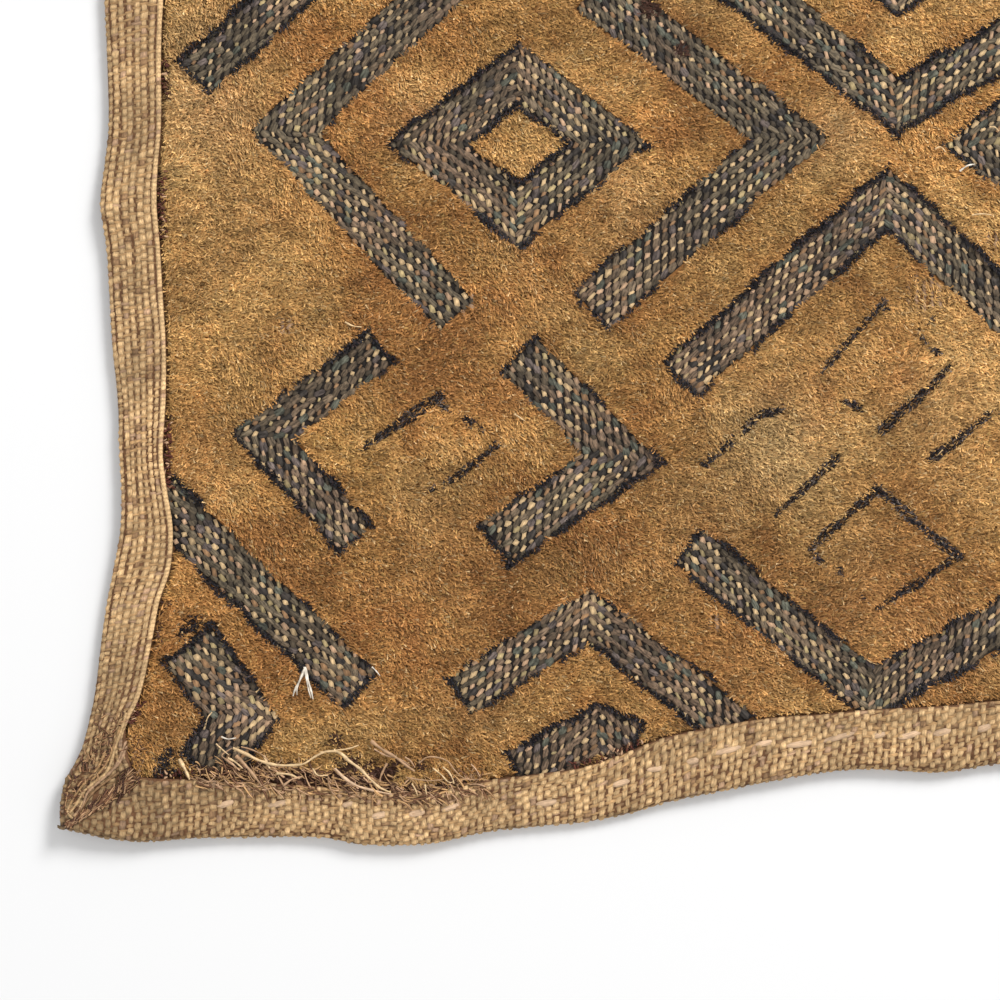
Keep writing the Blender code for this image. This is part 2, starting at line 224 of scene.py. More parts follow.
# How much black pile stands along the bands' edges: a row for each band above, from 0 for none to 1 for full
CHEVRON_INK = (
    # first arm outside, inside, end, second arm outside, inside, end
    (0.15, 0.25, 0.3, 0.35, 0.3, 0.45),
    (0.15, 0.45, 0.5, 0.5, 0.55, 0.8),
    (0.9, 0.55, 0.5, 0.75, 0.8, 0.5),
    (0.85, 0.6, 0.9, 0.7, 0.45, 0.5),
    (0.6, 0.45, 0.9, 0.6, 0.55, 0.5),
    (0.6, 0.4, 0.7, 0.6, 0.45, 0.8),
    (0.6, 0.5, 0.8, 0.7, 0.8, 1.0),
    (0.5, 0.5, 0.75, 0.55, 0.7, 0.7),
    (0.55, 0.4, 0.8, 0.8, 0.4, 1.0),
    (0.65, 0.6, 0.7, 0.7, 0.5, 0.5),
    (0.5, 0.5, 0.5, 0.5, 0.5, 0.5),
    (0.5, 0.5, 0.5, 0.5, 0.5, 0.5),
)
BAR_INK = (
    # upper edge, lower edge, first end, far end
    (0.95, 0.8, 0.9, 0.5),
    (0.5, 0.7, 0.85, 0.95),
)
RING_INK = (
    # outside: upper left, upper right, lower right, lower left; inside the same
    (0.95, 0.4, 0.75, 0.55, 0.9, 0.6, 0.95, 0.5),
    (0.7, 0.5, 0.7, 0.6, 0.6, 0.6, 0.6, 0.6),
    (0.8, 0.8, 0.9, 0.9, 0.6, 0.6, 0.6, 0.6),
)
# Beyond the photograph the same motifs go on in rows, as a worker would space them
ROWS_BEYOND = (
    # first row's height, rows, first motif's place, motifs, every which ring is a thick one
    (-256.6, 5, -278.5, 5, 1),
    (-197.6, 4, -222.5, 5, 2),
)
PITCH_WIDE = 111.0
PITCH_HIGH = 118.0
CHARTED_RIGHT = -40.0
CHARTED_TOP = -65.0

# Thin rows of black pile: from x, y to x, y, how closely they are filled, and how wide
PILE_LINES = (
    (-198.4, -199.7, -183.2, -189.3, 0.9, 1.60),
    (-182.8, -190.9, -179.8, -192.3, 0.6, 1.32),
    (-178.2, -193.4, -175.4, -195.7, 0.7, 1.32),
    (-171.4, -198.9, -182.0, -206.9, 0.9, 1.52),
    (-183.8, -207.3, -187.2, -209.3, 0.4, 1.19),
    (-193.6, -205.9, -190.0, -207.3, 0.35, 1.06),
    (-94.3, -170.6, -106.8, -184.5, 0.9, 1.39),
    (-94.6, -172.0, -91.4, -171.9, 0.5, 0.79),
    (-87.8, -175.6, -85.9, -178.6, 0.6, 1.19),
    (-84.3, -173.7, -85.6, -174.9, 0.6, 0.94),
    (-84.4, -180.0, -83.2, -180.4, 0.8, 1.32),
    (-80.9, -183.5, -83.4, -185.3, 0.8, 1.46),
    (-83.7, -186.5, -94.6, -196.1, 0.95, 1.79),
    (-102.4, -190.1, -98.4, -191.9, 0.45, 1.32),
    (-73.4, -193.2, -84.6, -201.8, 0.95, 1.66),
    (-73.4, -193.2, -71.0, -192.8, 0.4, 0.79),
    (-103.8, -201.8, -116.4, -213.4, 0.8, 1.46),
    (-114.8, -192.1, -118.4, -192.5, 0.8, 1.46),
    (-118.4, -192.5, -130.3, -203.0, 0.75, 1.32),
    (-130.1, -202.8, -128.7, -204.6, 0.4, 1.06),
    (-109.3, -220.0, -95.3, -207.9, 0.95, 1.72),
    (-95.3, -207.9, -79.2, -221.4, 0.92, 1.66),
    (-79.2, -221.4, -95.4, -231.6, 0.9, 1.66),
    (-109.3, -220.0, -107.2, -221.9, 0.7, 1.32),
    (-103.0, -224.2, -101.9, -225.4, 0.6, 1.19),
    (-98.4, -229.4, -97.5, -230.4, 0.6, 1.19),
    (-239.4, -264.4, -234.8, -264.6, 0.9, 1.08),
)

# Colours by name, as red, green and blue out of 255
COLOURS = {
    "gold": (194, 147, 86),
    "straw": (222, 183, 118),
    "olive": (182, 152, 90),
    "russet": (168, 112, 62),
    "umber": (128, 86, 50),
    "bright": (240, 212, 160),
    "black": (34, 32, 34),
    "navy": (46, 45, 50),
    "plum": (74, 60, 60),
    "grey": (116, 105, 98),
    "charcoal": (102, 88, 70),
    "olive_grey": (100, 88, 70),
    "brown_grey": (110, 90, 72),
    "violet_grey": (98, 86, 80),
    "green_grey": (88, 88, 76),
    "ink": (60, 54, 49),
    "check": (224, 190, 142),
    "check_pink": (214, 174, 138),
    "check_olive": (202, 178, 128),
    "check_brown": (172, 132, 94),
    "hem": (230, 190, 138),
    "hem_dim": (200, 158, 109),
    "hem_dark": (170, 132, 94),
    "hem_pink": (204, 164, 128),
    # the darker brown seen between the hem's floats: painted shade
    "gap_shade": (106, 74, 50),
    # the cloth's tone under the pile, partly painted shade in the gaps between tufts
    "thatch_in_shade": (140, 96, 52),
    # near-black painted shade under the bands' stitches
    "bed_shade": (36, 31, 28),
    "whip": (96, 52, 40),
    "running": (222, 186, 150),
    "fray": (188, 150, 114),
    "fray_dark": (120, 84, 60),
    "shadow": (84, 56, 44),
    "strand": (232, 198, 150),
    "white": (240, 228, 210),
}

# How the pile's colour drifts over the cloth: soft patches, listed one by one
PATCHES = (
    # x, y, reach, colour, strength
    (-232.0, -150.0, 20, "straw", 0.45),
    (-236.0, -178.0, 18, "straw", 0.35),
    (-205.0, -123.0, 14, "russet", 0.35),
    (-180.0, -114.0, 16, "gold", 0.4),
    (-190.0, -180.0, 16, "russet", 0.45),
    (-164.0, -182.0, 12, "straw", 0.15),
    (-180.0, -216.0, 16, "russet", 0.3),
    (-236.0, -138.0, 22, "straw", 0.4),
    (-225.0, -168.0, 16, "straw", 0.35),
    (-228.0, -133.0, 8, "russet", 0.4),
    (-191.0, -162.0, 14, "umber", 0.3),
    (-163.0, -165.0, 12, "russet", 0.35),
    (-151.0, -210.0, 22, "umber", 0.25),
    (-182.0, -244.0, 14, "umber", 0.25),
    (-77.0, -208.0, 12, "straw", 0.25),
    (-145.0, -162.0, 14, "russet", 0.3),
    (-136.0, -118.0, 12, "umber", 0.55),
    (-152.0, -112.0, 12, "gold", 0.3),
    (-120.0, -172.0, 16, "straw", 0.2),
    (-100.0, -180.0, 14, "russet", 0.2),
    (-116.0, -198.0, 12, "straw", 0.4),
    (-88.0, -210.0, 14, "russet", 0.3),
    (-128.0, -214.0, 16, "umber", 0.4),
    (-112.0, -230.0, 16, "umber", 0.35),
    (-126.0, -240.0, 12, "russet", 0.4),
    (-84.0, -238.0, 16, "umber", 0.45),
    (-150.0, -224.0, 18, "umber", 0.35),
    (-175.0, -222.0, 18, "umber", 0.35),
    (-196.0, -240.0, 16, "russet", 0.3),
    (-176.0, -252.0, 14, "umber", 0.35),
    (-225.0, -225.0, 12, "russet", 0.4),
    (-232.0, -200.0, 12, "russet", 0.35),
    (-208.0, -200.0, 12, "olive", 0.35),
    (-238.0, -255.0, 9, "russet", 0.5),
    (-128.0, -252.0, 16, "russet", 0.35),
    (-92.0, -117.0, 10, "straw", 0.3),
    (-140.0, -240.0, 14, "gold", 0.3),
    (-90.0, -226.0, 14, "russet", 0.5),
    (-115.0, -198.0, 12, "bright", 0.24),
    (-232.0, -132.0, 16, "bright", 0.2),
    (-230.0, -118.0, 12, "bright", 0.16),
    (-187.0, -133.0, 9, "bright", 0.14),
    (-104.0, -136.0, 8, "bright", 0.2),
    (-84.0, -190.0, 12, "bright", 0.12),
    (-146.0, -150.0, 9, "bright", 0.14),
    (-106.0, -233.0, 12, "russet", 0.45),
    (-80.0, -250.0, 10, "russet", 0.4),
    (-234.0, -228.0, 12, "gold", 0.3),
    (-238.0, -248.0, 8, "russet", 0.35),
)


def smooth_rows(rows, along):
    """The out, hem and lift of a side at a place along it, on a smooth curve through the rows."""
    places = [row[0] for row in rows]
    if along <= places[0]:
        return np.array(rows[0][1:])
    if along >= places[-1]:
        return np.array(rows[-1][1:])
    i = int(np.searchsorted(places, along, side="right")) - 1
    low, high = np.array(rows[i]), np.array(rows[i + 1])
    before = np.array(rows[max(i - 1, 0)])
    after = np.array(rows[min(i + 2, len(rows) - 1)])
    span = high[0] - low[0]
    t = (along - low[0]) / span
    slope_low = (high - before)[1:] / max(high[0] - before[0], 1e-6) * span
    slope_high = (after - low)[1:] / max(after[0] - low[0], 1e-6) * span
    a = 2 * t**3 - 3 * t**2 + 1
    b = t**3 - 2 * t**2 + t
    c = -2 * t**3 + 3 * t**2
    d = t**3 - t**2
    return a * low[1:] + b * slope_low + c * high[1:] + d * slope_high


INWARD = {"bottom": (0, 1), "right": (-1, 0), "top": (0, -1), "left": (1, 0)}
RUN = (
    # side, rows, corner it starts from, corner it ends at, whether its rows run with it
    ("bottom", BOTTOM, "lower_left", "lower_right", True),
    ("right", RIGHT, "lower_right", "upper_right", True),
    ("top", TOP, "upper_right", "upper_left", False),
    ("left", LEFT, "upper_left", "lower_left", False),
)


def soft_step(t):
    """0 below 0, 1 above 1, and smooth between."""
    t = np.clip(t, 0.0, 1.0)
    return t * t * (3 - 2 * t)


def waver(x, y):
    """The slight unevenness of a hand-made face, in millimetres."""
    wide = np.sin(x / 31.0 + 0.7) * np.cos(y / 27.0 - 0.4)
    fine = np.sin(x / 11.0 - y / 17.0 + 1.9)
    return 0.16 * wide + 0.07 * fine


class Side:
    """One side of the panel: its edge, its hem's width and its lift at every millimetre along it."""

    def __init__(self, name, rows, low, high):
        self.name = name
        self.low, self.high = low, high
        self.upright = INWARD[name][0] != 0
        self.sign = INWARD[name][0] + INWARD[name][1]
        axis = 1 if self.upright else 0
        self.axis = axis
        half = HALF_HIGH if self.upright else HALF_WIDE
        across = HALF_WIDE if self.upright else HALF_HIGH
        steps = np.arange(rows[0][0], rows[-1][0], 1.0)
        found = np.array([smooth_rows(rows, s) for s in steps])
        place = steps - half
        edge = -self.sign * (across + found[:, 0])
        ends = (low, high)
        place = np.concatenate(([ends[0][axis]], place, [ends[1][axis]]))
        edge = np.concatenate(([ends[0][1 - axis]], edge, [ends[1][1 - axis]]))
        hem = np.concatenate(([CORNER_HEM], found[:, 1], [CORNER_HEM]))
        lift = np.concatenate(([ends[0][4]], found[:, 2], [ends[1][4]]))
        order = np.argsort(place)
        self.place, self.edge = place[order], edge[order]
        self.hem, self.lift = hem[order], lift[order]

    def at(self, place):
        """Edge, hem width as it is near the corners, and lift, at places along the side."""
        edge = np.interp(place, self.place, self.edge)
        wide = np.interp(place, self.place, self.hem)
        for corner, above in ((self.low, 1), (self.high, -1)):
            clear = (place - corner[2 + self.axis]) * above
            bend = (corner[3 - self.axis] - edge) * self.sign
            share = soft_step(clear / FAN_BLEND)
            wide = bend + (wide - bend) * share
        return edge, wide, np.interp(place, self.place, self.lift)

    def point(self, place, inward, height):
        """Plan places and heights of points this far inward from the edge."""
        edge, wide, lift = self.at(place)
        across = edge + self.sign * inward
        z = height + lift * (1 - soft_step(inward / (wide + UNDERSIDE_IN - 1)))
        x = across if self.upright else place
        y = place if self.upright else across
        return x, y, z + waver(x, y)

    def over(self, place, t):
        """Points on the way over the hem, t running from 0 at the foot of the fold to 1 under its inner edge,
        with the direction that the surface faces there, as inward and upward parts."""
        _, wide, _ = self.at(place)
        inward = np.interp(t, WAY_T, WAY_FIXED) + wide * np.interp(t, WAY_T, WAY_HEM)
        x, y, z = self.point(place, inward, np.interp(t, WAY_T, WAY_Z))
        return x, y, z, np.interp(t, WAY_T, WAY_FACE_IN), np.interp(t, WAY_T, WAY_FACE_UP)

    def from_mitre(self, x, y):
        """How far places are from the nearer of this side's two mitres."""
        away = np.full(np.shape(x), 99.0)
        for corner in (self.low, self.high):
            dx, dy = corner[2] - corner[0], corner[3] - corner[1]
            turn = np.abs(dx * (y - corner[1]) - dy * (x - corner[0])) / math.hypot(dx, dy)
            near = np.hypot(x - corner[2], y - corner[3]) < CORNER_REACH
            away = np.where(near, np.minimum(away, turn), away)
        return away

    def own(self, x, y):
        """Whether places belong to this side of the mitres at its two corners."""
        kept = np.ones(np.shape(x), bool)
        middle = self.point(np.array([0.0]), np.array([5.0]), np.array([0.0]))
        for corner in (self.low, self.high):
            tip, bend = corner[0:2], corner[2:4]
            turn = (bend[0] - tip[0]) * (y - tip[1]) - (bend[1] - tip[1]) * (x - tip[0])
            mine = (bend[0] - tip[0]) * (middle[1] - tip[1]) - (bend[1] - tip[1]) * (middle[0] - tip[0])
            kept &= turn * mine[0] > 0
        return kept


def way_tables():
    """The way over the hem as functions of t."""
    hems, fixed, z = np.array(OVER_HEM).T
    inward = fixed + hems * HEM_USUAL
    steps = np.hypot(np.diff(inward), np.diff(z))
    t = np.concatenate(([0.0], np.cumsum(steps)))
    face_in = -np.gradient(z, t)
    face_up = np.gradient(inward, t)
    size = np.hypot(face_in, face_up)
    return t / t[-1], fixed, hems, z, face_in / size, face_up / size, float(t[-1])


WAY_T, WAY_FIXED, WAY_HEM, WAY_Z, WAY_FACE_IN, WAY_FACE_UP, WAY_LONG = way_tables()
SIDES = {
    name: Side(name, rows, *((CORNERS[a], CORNERS[b]) if with_rows else (CORNERS[b], CORNERS[a])))
    for name, rows, a, b, with_rows in RUN
}


# The chart of stitched bands: the part's own, with a few arms set closer to the photograph


def arm_point(x, y, direction, length):
    """The far end of an arm."""
    turn = math.radians(direction)
    return (x + length * math.cos(turn), y + length * math.sin(turn))


def rough(rng, value, by):
    """A size with a worker's unevenness."""
    return value + by * (rng.random() * 2 - 1)


def ring_line(x, y, wide, high):
    """The centre line of a ring diamond."""
    return [(x - wide, y), (x, y + high), (x + wide, y), (x, y - high)]


def charted(x, y):
    """Whether the tables above already hold the motif for this place."""
    return x < CHARTED_RIGHT and y < CHARTED_TOP


def chart():
    """Every stitched band as its centre line, its width, whether it closes and its edges' black pile, and the
    thin pile lines. The black pile is a left and right share for each stretch of the line, and the ends'."""
    bands = []
    for (x, y, turn, length, turn2, length2, width), ink in zip(CHEVRONS, CHEVRON_INK):
        line = [arm_point(x, y, turn, length), (x, y), arm_point(x, y, turn2, length2)]
        left_turn = math.sin(math.radians(turn2 - turn - 180)) > 0
        first = (ink[1], ink[0]) if left_turn else (ink[0], ink[1])
        second = (ink[4], ink[3]) if left_turn else (ink[3], ink[4])
        bands.append((line, width, False, (first, second), (ink[2], ink[5])))
    for (x, y, turn, length, width), ink in zip(BARS, BAR_INK):
        bands.append(([(x, y), arm_point(x, y, turn, length)], width, False, ((ink[0], ink[1]),), ink[2:]))
    for (x, y, wide, high, width), ink in zip(RINGS, RING_INK):
        edges = tuple(zip(ink[:4], ink[4:]))
        bands.append((ring_line(x, y, wide, high), width, True, edges, (0, 0)))
    beyond, thin = chart_beyond()
    return bands + beyond, list(PILE_LINES) + thin


def chart_beyond():
    """The bands past the photograph's frame: ring diamonds in rows, with a crossing between each two."""
    rng = np.random.default_rng(SEED)
    inks = np.random.default_rng(SEED + 5)
    bands, thin = [], []
    for first_high, rows, first_wide, motifs, every in ROWS_BEYOND:
        for row in range(rows):
            for motif in range(motifs):
                x = rough(rng, first_wide + motif * PITCH_WIDE, 2.0)
                y = rough(rng, first_high + row * PITCH_HIGH, 2.0)
                wide, high = rough(rng, 18, 1.5), rough(rng, 14, 1.5)
                if not charted(x, y) and abs(x) < HALF_WIDE:
                    if (row + motif) % every == 0:
                        edges = inks.uniform(0.25, 0.95, (4, 2))
                        bands.append((ring_line(x, y, wide, high), 10.0, True, edges, (0, 0)))
                    else:
                        for share in (1.0, 0.45):
                            ring = ring_line(x, y, wide * share, high * share)
                            thin += [a + b + (0.85, 1.6) for a, b in zip(ring, ring[1:] + ring[:1])]
                x += PITCH_WIDE / 2
                for tip, turn, turn2 in ((8, 142, 38), (-8, -140, -41)):
                    turn, turn2 = rough(rng, turn, 3), rough(rng, turn2, 3)
                    length, length2 = rough(rng, 40, 4), rough(rng, 40, 4)
                    if charted(x, y) or abs(x) > HALF_WIDE - 6:
                        continue
                    first, last = arm_point(x, y + tip, turn, length), arm_point(x, y + tip, turn2, length2)
                    edges = inks.uniform(0.2, 0.95, (2, 2))
                    bands.append(([first, (x, y + tip), last], 9.8, False, edges, inks.uniform(0.3, 1.0, 2)))
    return bands, thin


# Maps of the plan, one cell every quarter of a millimetre


CELL = 0.25
MAP_LEFT, MAP_BOTTOM = -264.0, -284.0
MAP_WIDE, MAP_HIGH = 2112, 2272


def lattice_noise(x, y, scale, seed):
    """Smooth noise from 0 to 1, with features of this scale in millimetres."""
    table = np.random.default_rng(seed).random((256, 256)).astype(np.float32)
    u, v = x / scale + 500.0, y / scale + 500.0
    i, j = np.floor(u).astype(np.int64), np.floor(v).astype(np.int64)
    fu, fv = u - i, v - j
    fu, fv = fu * fu * (3 - 2 * fu), fv * fv * (3 - 2 * fv)
    i0, i1, j0, j1 = i % 256, (i + 1) % 256, j % 256, (j + 1) % 256
    low = table[j0, i0] * (1 - fu) + table[j0, i1] * fu
    high = table[j1, i0] * (1 - fu) + table[j1, i1] * fu
    return low * (1 - fv) + high * fv


def map_block(x0, x1, y0, y1):
    """The map's cells in a box: slices and the plan places of their middles."""
    i0 = max(int((x0 - MAP_LEFT) / CELL), 0)
    i1 = min(int((x1 - MAP_LEFT) / CELL) + 1, MAP_WIDE)
    j0 = max(int((y0 - MAP_BOTTOM) / CELL), 0)
    j1 = min(int((y1 - MAP_BOTTOM) / CELL) + 1, MAP_HIGH)
    x = MAP_LEFT + (np.arange(i0, max(i1, i0)) + 0.5) * CELL
    y = MAP_BOTTOM + (np.arange(j0, max(j1, j0)) + 0.5) * CELL
    return slice(j0, max(j1, j0)), slice(i0, max(i1, i0)), *np.meshgrid(x, y)


def band_maps(bands):
    """How deep in a band each cell lies (negative outside), the direction of the arm nearest to it, and how
    much black pile stands on the edge nearest to it."""
    deep = np.full((MAP_HIGH, MAP_WIDE), -9.0, np.float32)
    turn = np.zeros((MAP_HIGH, MAP_WIDE), np.float32)
    ink = np.zeros((MAP_HIGH, MAP_WIDE), np.float32)
    for line, width, closed, edges, ends in bands:
        count = len(line)
        segments = count if closed else count - 1
        for k in range(segments):
            a, b = np.array(line[k]), np.array(line[(k + 1) % count])
            long = np.linalg.norm(b - a)
            way = (b - a) / long
            reach = width + 8
            low, high = np.minimum(a, b) - reach, np.maximum(a, b) + reach
            rows, cols, x, y = map_block(low[0], high[0], low[1], high[1])
            if not x.size:
                continue
            along = (x - a[0]) * way[0] + (y - a[1]) * way[1]
            across = (y - a[1]) * way[0] - (x - a[0]) * way[1]
            d = width / 2 - np.abs(across)
            shown = np.where(across > 0, edges[k][0], edges[k][1])
            for end, spot, other in ((0, a, line[k - 1]), (1, b, line[(k + 2) % count])):
                joined = closed or (k > 0 if end == 0 else k < segments - 1)
                if joined:
                    to = (a - np.array(other)) if end == 0 else (np.array(other) - b)
                    plane = way + to / np.linalg.norm(to)
                    past = ((x - spot[0]) * plane[0] + (y - spot[1]) * plane[1]) * (1 if end else -1)
                    d = np.where(past > 0, np.minimum(d, -past), d)
                else:
                    past = along - long if end else -along
                    shown = np.where(-past < d, ends[end], shown)
                    d = np.minimum(d, -past)
            better = d > deep[rows, cols]
            deep[rows, cols] = np.where(better, d, deep[rows, cols])
            turn[rows, cols] = np.where(better, math.atan2(way[1], way[0]), turn[rows, cols])
            ink[rows, cols] = np.where(better, shown, ink[rows, cols])
    return deep, turn, ink


def line_map(lines):
    """How far inside a thin pile line each cell is (negative outside), its direction and its filling."""
    inside = np.full((MAP_HIGH, MAP_WIDE), -9.0, np.float32)
    turn = np.zeros((MAP_HIGH, MAP_WIDE), np.float32)
    filled = np.zeros((MAP_HIGH, MAP_WIDE), np.float32)
    for ax, ay, bx, by, share, wide in lines:
        rows, cols, x, y = map_block(min(ax, bx) - 3, max(ax, bx) + 3, min(ay, by) - 3, max(ay, by) + 3)
        if not x.size:
            continue
        dx, dy = bx - ax, by - ay
        t = np.clip(((x - ax) * dx + (y - ay) * dy) / (dx * dx + dy * dy), 0, 1)
        d = wide / 2 - np.hypot(x - ax - t * dx, y - ay - t * dy)
        better = d > inside[rows, cols]
        inside[rows, cols] = np.where(better, d, inside[rows, cols])
        turn[rows, cols] = np.where(better, math.atan2(dy, dx), turn[rows, cols])
        filled[rows, cols] = np.where(better, share, filled[rows, cols])
    return inside, turn, filled


def read_map(values, x, y):
    """A map's values at places."""
    i = np.clip(((x - MAP_LEFT) / CELL).astype(np.int64), 0, MAP_WIDE - 1)
    j = np.clip(((y - MAP_BOTTOM) / CELL).astype(np.int64), 0, MAP_HIGH - 1)
    return values[j, i]


# How fine a place has to be for the fine stitches and floats
FINE_FROM = 0.25


def inside_hem(x, y):
    """How far places lie inside the hem's inner edge, in millimetres (negative under the hem)."""
    clear = np.full(np.shape(x), 99.0)
    for side in SIDES.values():
        place, across = (y, x) if side.upright else (x, y)
        edge, wide, _ = side.at(place)
        clear = np.minimum(clear, (across - edge) * side.sign - wide)
    return clear


def face_rise(x, y):
    """How much the panel's face is lifted beside its hem, in millimetres."""
    rise = np.zeros(np.shape(x))
    for side in SIDES.values():
        place, across = (y, x) if side.upright else (x, y)
        edge, wide, lift = side.at(place)
        inward = (across - edge) * side.sign
        rise = np.maximum(rise, lift * (1 - soft_step(inward / (wide + UNDERSIDE_IN - 1))))
    return rise


def fineness(x, y):
    """1 where the photograph looks, falling to 0 a little beyond its frame."""
    out = np.maximum(np.maximum(x - PHOTO_RIGHT, y - PHOTO_TOP), 0.0)
    return 1 - soft_step((out - 2.0) / 34.0)


# Making meshes


def linear(colour):
    """A colour out of 255 as linear light."""
    c = np.asarray(colour, float) / 255.0
    return np.where(c <= 0.04045, c / 12.92, ((c + 0.055) / 1.055) ** 2.4)


INK = {name: linear(colour) for name, colour in COLOURS.items()}


def to_frame(x, y, z):
    """Plan millimetres to the row's frame in metres."""
    return np.stack(((x - PLAN_MIDDLE[0]) * MM, (y - PLAN_MIDDLE[1]) * MM, z * MM), axis=-1)


def make_piece(name, points, corners, colours, material, strand=None, smooth=True):
    """A mesh piece from arrays: points (n, 3), faces (m, 3 or 4), colours (n, 3) and strand places (n, 2)."""
    points = np.ascontiguousarray(points, np.float32).reshape(-1, 3)
    corners = np.ascontiguousarray(corners, np.int32)
    sides = corners.shape[1]
    mesh = bpy.data.meshes.new(name)
    mesh.vertices.add(len(points))
    mesh.vertices.foreach_set("co", points.ravel())
    mesh.loops.add(corners.size)
    mesh.loops.foreach_set("vertex_index", corners.ravel())
    mesh.polygons.add(len(corners))
    mesh.polygons.foreach_set("loop_start", np.arange(0, corners.size, sides, dtype=np.int32))
    mesh.polygons.foreach_set("use_smooth", np.full(len(corners), smooth))
    tone = mesh.attributes.new("Tone", "FLOAT_COLOR", "POINT")
    rgba = np.ones((len(points), 4), np.float32)
    rgba[:, :3] = np.asarray(colours).reshape(-1, 3)
    tone.data.foreach_set("color", rgba.ravel())
    if strand is not None:
        layer = mesh.uv_layers.new(name="Strand")
        layer.data.foreach_set("uv", np.asarray(strand, np.float32).reshape(-1, 2)[corners.ravel()].ravel())
    bake = mesh.uv_layers.new(name="OFBake")
    low, high = points.min(axis=0), points.max(axis=0)
    span = max(high[0] - low[0], high[1] - low[1], 1e-6)
    plan = (points[:, :2] - low[:2]) / span * 0.998 + 0.001
    bake.data.foreach_set("uv", plan[corners.ravel()].astype(np.float32).ravel())
    mesh.update()
    mesh.validate()
    mesh.materials.append(material)
    made = bpy.data.objects.new(name, mesh)
    bpy.context.scene.collection.objects.link(made)
    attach(made, "root")
    return made


def copies(faces, count, size, first=0):
    """The faces of this many copies of one small shape of so many points."""
    start = (np.arange(count) * size)[:, None, None] + first
    return (faces[None] + start).reshape(-1, faces.shape[1])


def turned(x, y, lean, along, across):
    """Plan places of many small shapes, each turned by its lean about its own middle."""
    cos, sin = np.cos(lean)[:, None], np.sin(lean)[:, None]
    return x[:, None] + along * cos - across * sin, y[:, None] + along * sin + across * cos


def strand_places(along, across, step_along, step_across, count):
    """Places on the streaked raffia for many strands, each on a stretch of its own."""
    number = np.arange(count)[:, None]
    places = np.stack((along + number * step_along, across + number * step_across), -1)
    return places.reshape(-1, 2)


def odd_strands(tone, pick, rows):
    """Tones with a few odd ones among them, chosen by a number from 0 to 1 for each."""
    for low, high, kept, colour, share in rows:
        chosen = (pick >= low) & (pick < high)
        tone = np.where(chosen[:, None], tone * kept + INK[colour] * share, tone)
    return tone


def cloth_height(ground, x, y, otherwise):
    """The height of the cloth's top at a place, or another one where there is no cloth."""
    hit = ground.ray_cast((x, y, RAY_START), (0, 0, -1))[0]
    return otherwise if hit is None else hit.z


def new_material(name, roughness):
    """An empty node material with a Principled shader, and its nodes and links."""
    material = bpy.data.materials.new(name)
    material.use_nodes = True
    tree = material.node_tree
    shader = tree.nodes["Principled BSDF"]
    shader.inputs["Roughness"].default_value = roughness
    shader.inputs["Specular IOR Level"].default_value = 0.25
    return material, tree, shader


def add_node(tree, kind, **settings):
    """A node with its settings and socket values."""
    node = tree.nodes.new(kind)
    for key, value in settings.items():
        if key in node.inputs:
            node.inputs[key].default_value = value
        else:
            setattr(node, key, value)
    return node


def mapped(tree, value, low, high, start=0.0, end=1.0):
    """A value between start and end brought to one between low and high."""
    ramp = add_node(tree, "ShaderNodeMapRange")
    for socket, number in (("From Min", start), ("From Max", end), ("To Min", low), ("To Max", high)):
        ramp.inputs[socket].default_value = number
    tree.links.new(value, ramp.inputs["Value"])
    return ramp.outputs["Result"]


def noise_of(tree, place, scale, detail, **more):
    """Noise of this scale at a place."""
    noise = add_node(tree, "ShaderNodeTexNoise", Scale=scale, Detail=detail, **more)
    tree.links.new(place, noise.inputs["Vector"])
    return noise.outputs["Fac"]


def tint(tree, shader, colour, factor):
    """Gives the shader a colour made lighter and darker by a factor."""
    mix = add_node(tree, "ShaderNodeVectorMath", operation="SCALE")
    tree.links.new(colour, mix.inputs[0])
    tree.links.new(factor, mix.inputs["Scale"])
    tree.links.new(mix.outputs["Vector"], shader.inputs["Base Color"])


def emboss(tree, shader, height, strength, distance):
    """Gives the shader a fine relief."""
    relief = add_node(tree, "ShaderNodeBump", Strength=strength, Distance=distance)
    tree.links.new(height, relief.inputs["Height"])
    tree.links.new(relief.outputs["Normal"], shader.inputs["Normal"])


def strand_material(name, roughness, streak, bump, scale, depth=0.00008):
    """Raffia: the piece's own tones, with fine streaks along each strand, in colour and in relief."""
    material, tree, shader = new_material(name, roughness)
    tone = add_node(tree, "ShaderNodeAttribute", attribute_name="Tone")
    uv = add_node(tree, "ShaderNodeUVMap", uv_map="Strand")
    stretch = add_node(tree, "ShaderNodeMapping", Scale=(*scale, 1.0))
    tree.links.new(uv.outputs["UV"], stretch.inputs["Vector"])
    streaks = noise_of(tree, stretch.outputs["Vector"], 1.0, 3.0, Roughness=0.6)
    place = add_node(tree, "ShaderNodeTexCoord").outputs["Object"]
    mottle = mapped(tree, noise_of(tree, place, 620.0, 2.0), 0.84, 1.16, 0.3, 0.7)
    both = add_node(tree, "ShaderNodeMath", operation="MULTIPLY")
    tree.links.new(mapped(tree, streaks, 1.0 - streak, 1.0 + streak, 0.38, 0.62), both.inputs[0])
    tree.links.new(mottle, both.inputs[1])
    tint(tree, shader, tone.outputs["Color"], both.outputs["Value"])
    tree.links.new(mapped(tree, streaks, roughness - 0.14, roughness + 0.14), shader.inputs["Roughness"])
    emboss(tree, shader, streaks, bump, depth)
    return material


def mottled_material(name, roughness, scale, detail, tones, bump, depth, gloss=0.0):
    """The piece's own tones with a fine mottle, for the cut pile, and for the brown depths of the cloth, whose
    tones are partly painted shade.
    """
    material, tree, shader = new_material(name, roughness)
    tone = add_node(tree, "ShaderNodeAttribute", attribute_name="Tone")
    place = add_node(tree, "ShaderNodeTexCoord").outputs["Object"]
    mottle = noise_of(tree, place, scale, detail)
    tint(tree, shader, tone.outputs["Color"], mapped(tree, mottle, *tones, 0.3, 0.7))
    if gloss:
        tree.links.new(mapped(tree, mottle, roughness - gloss, roughness + gloss), shader.inputs["Roughness"])
    emboss(tree, shader, mottle, bump, depth)
    return material


# How many yarns lie in a metre of the underside, across, along and through it
UNDERSIDE_YARNS = (625.0, 740.0, 1.0)


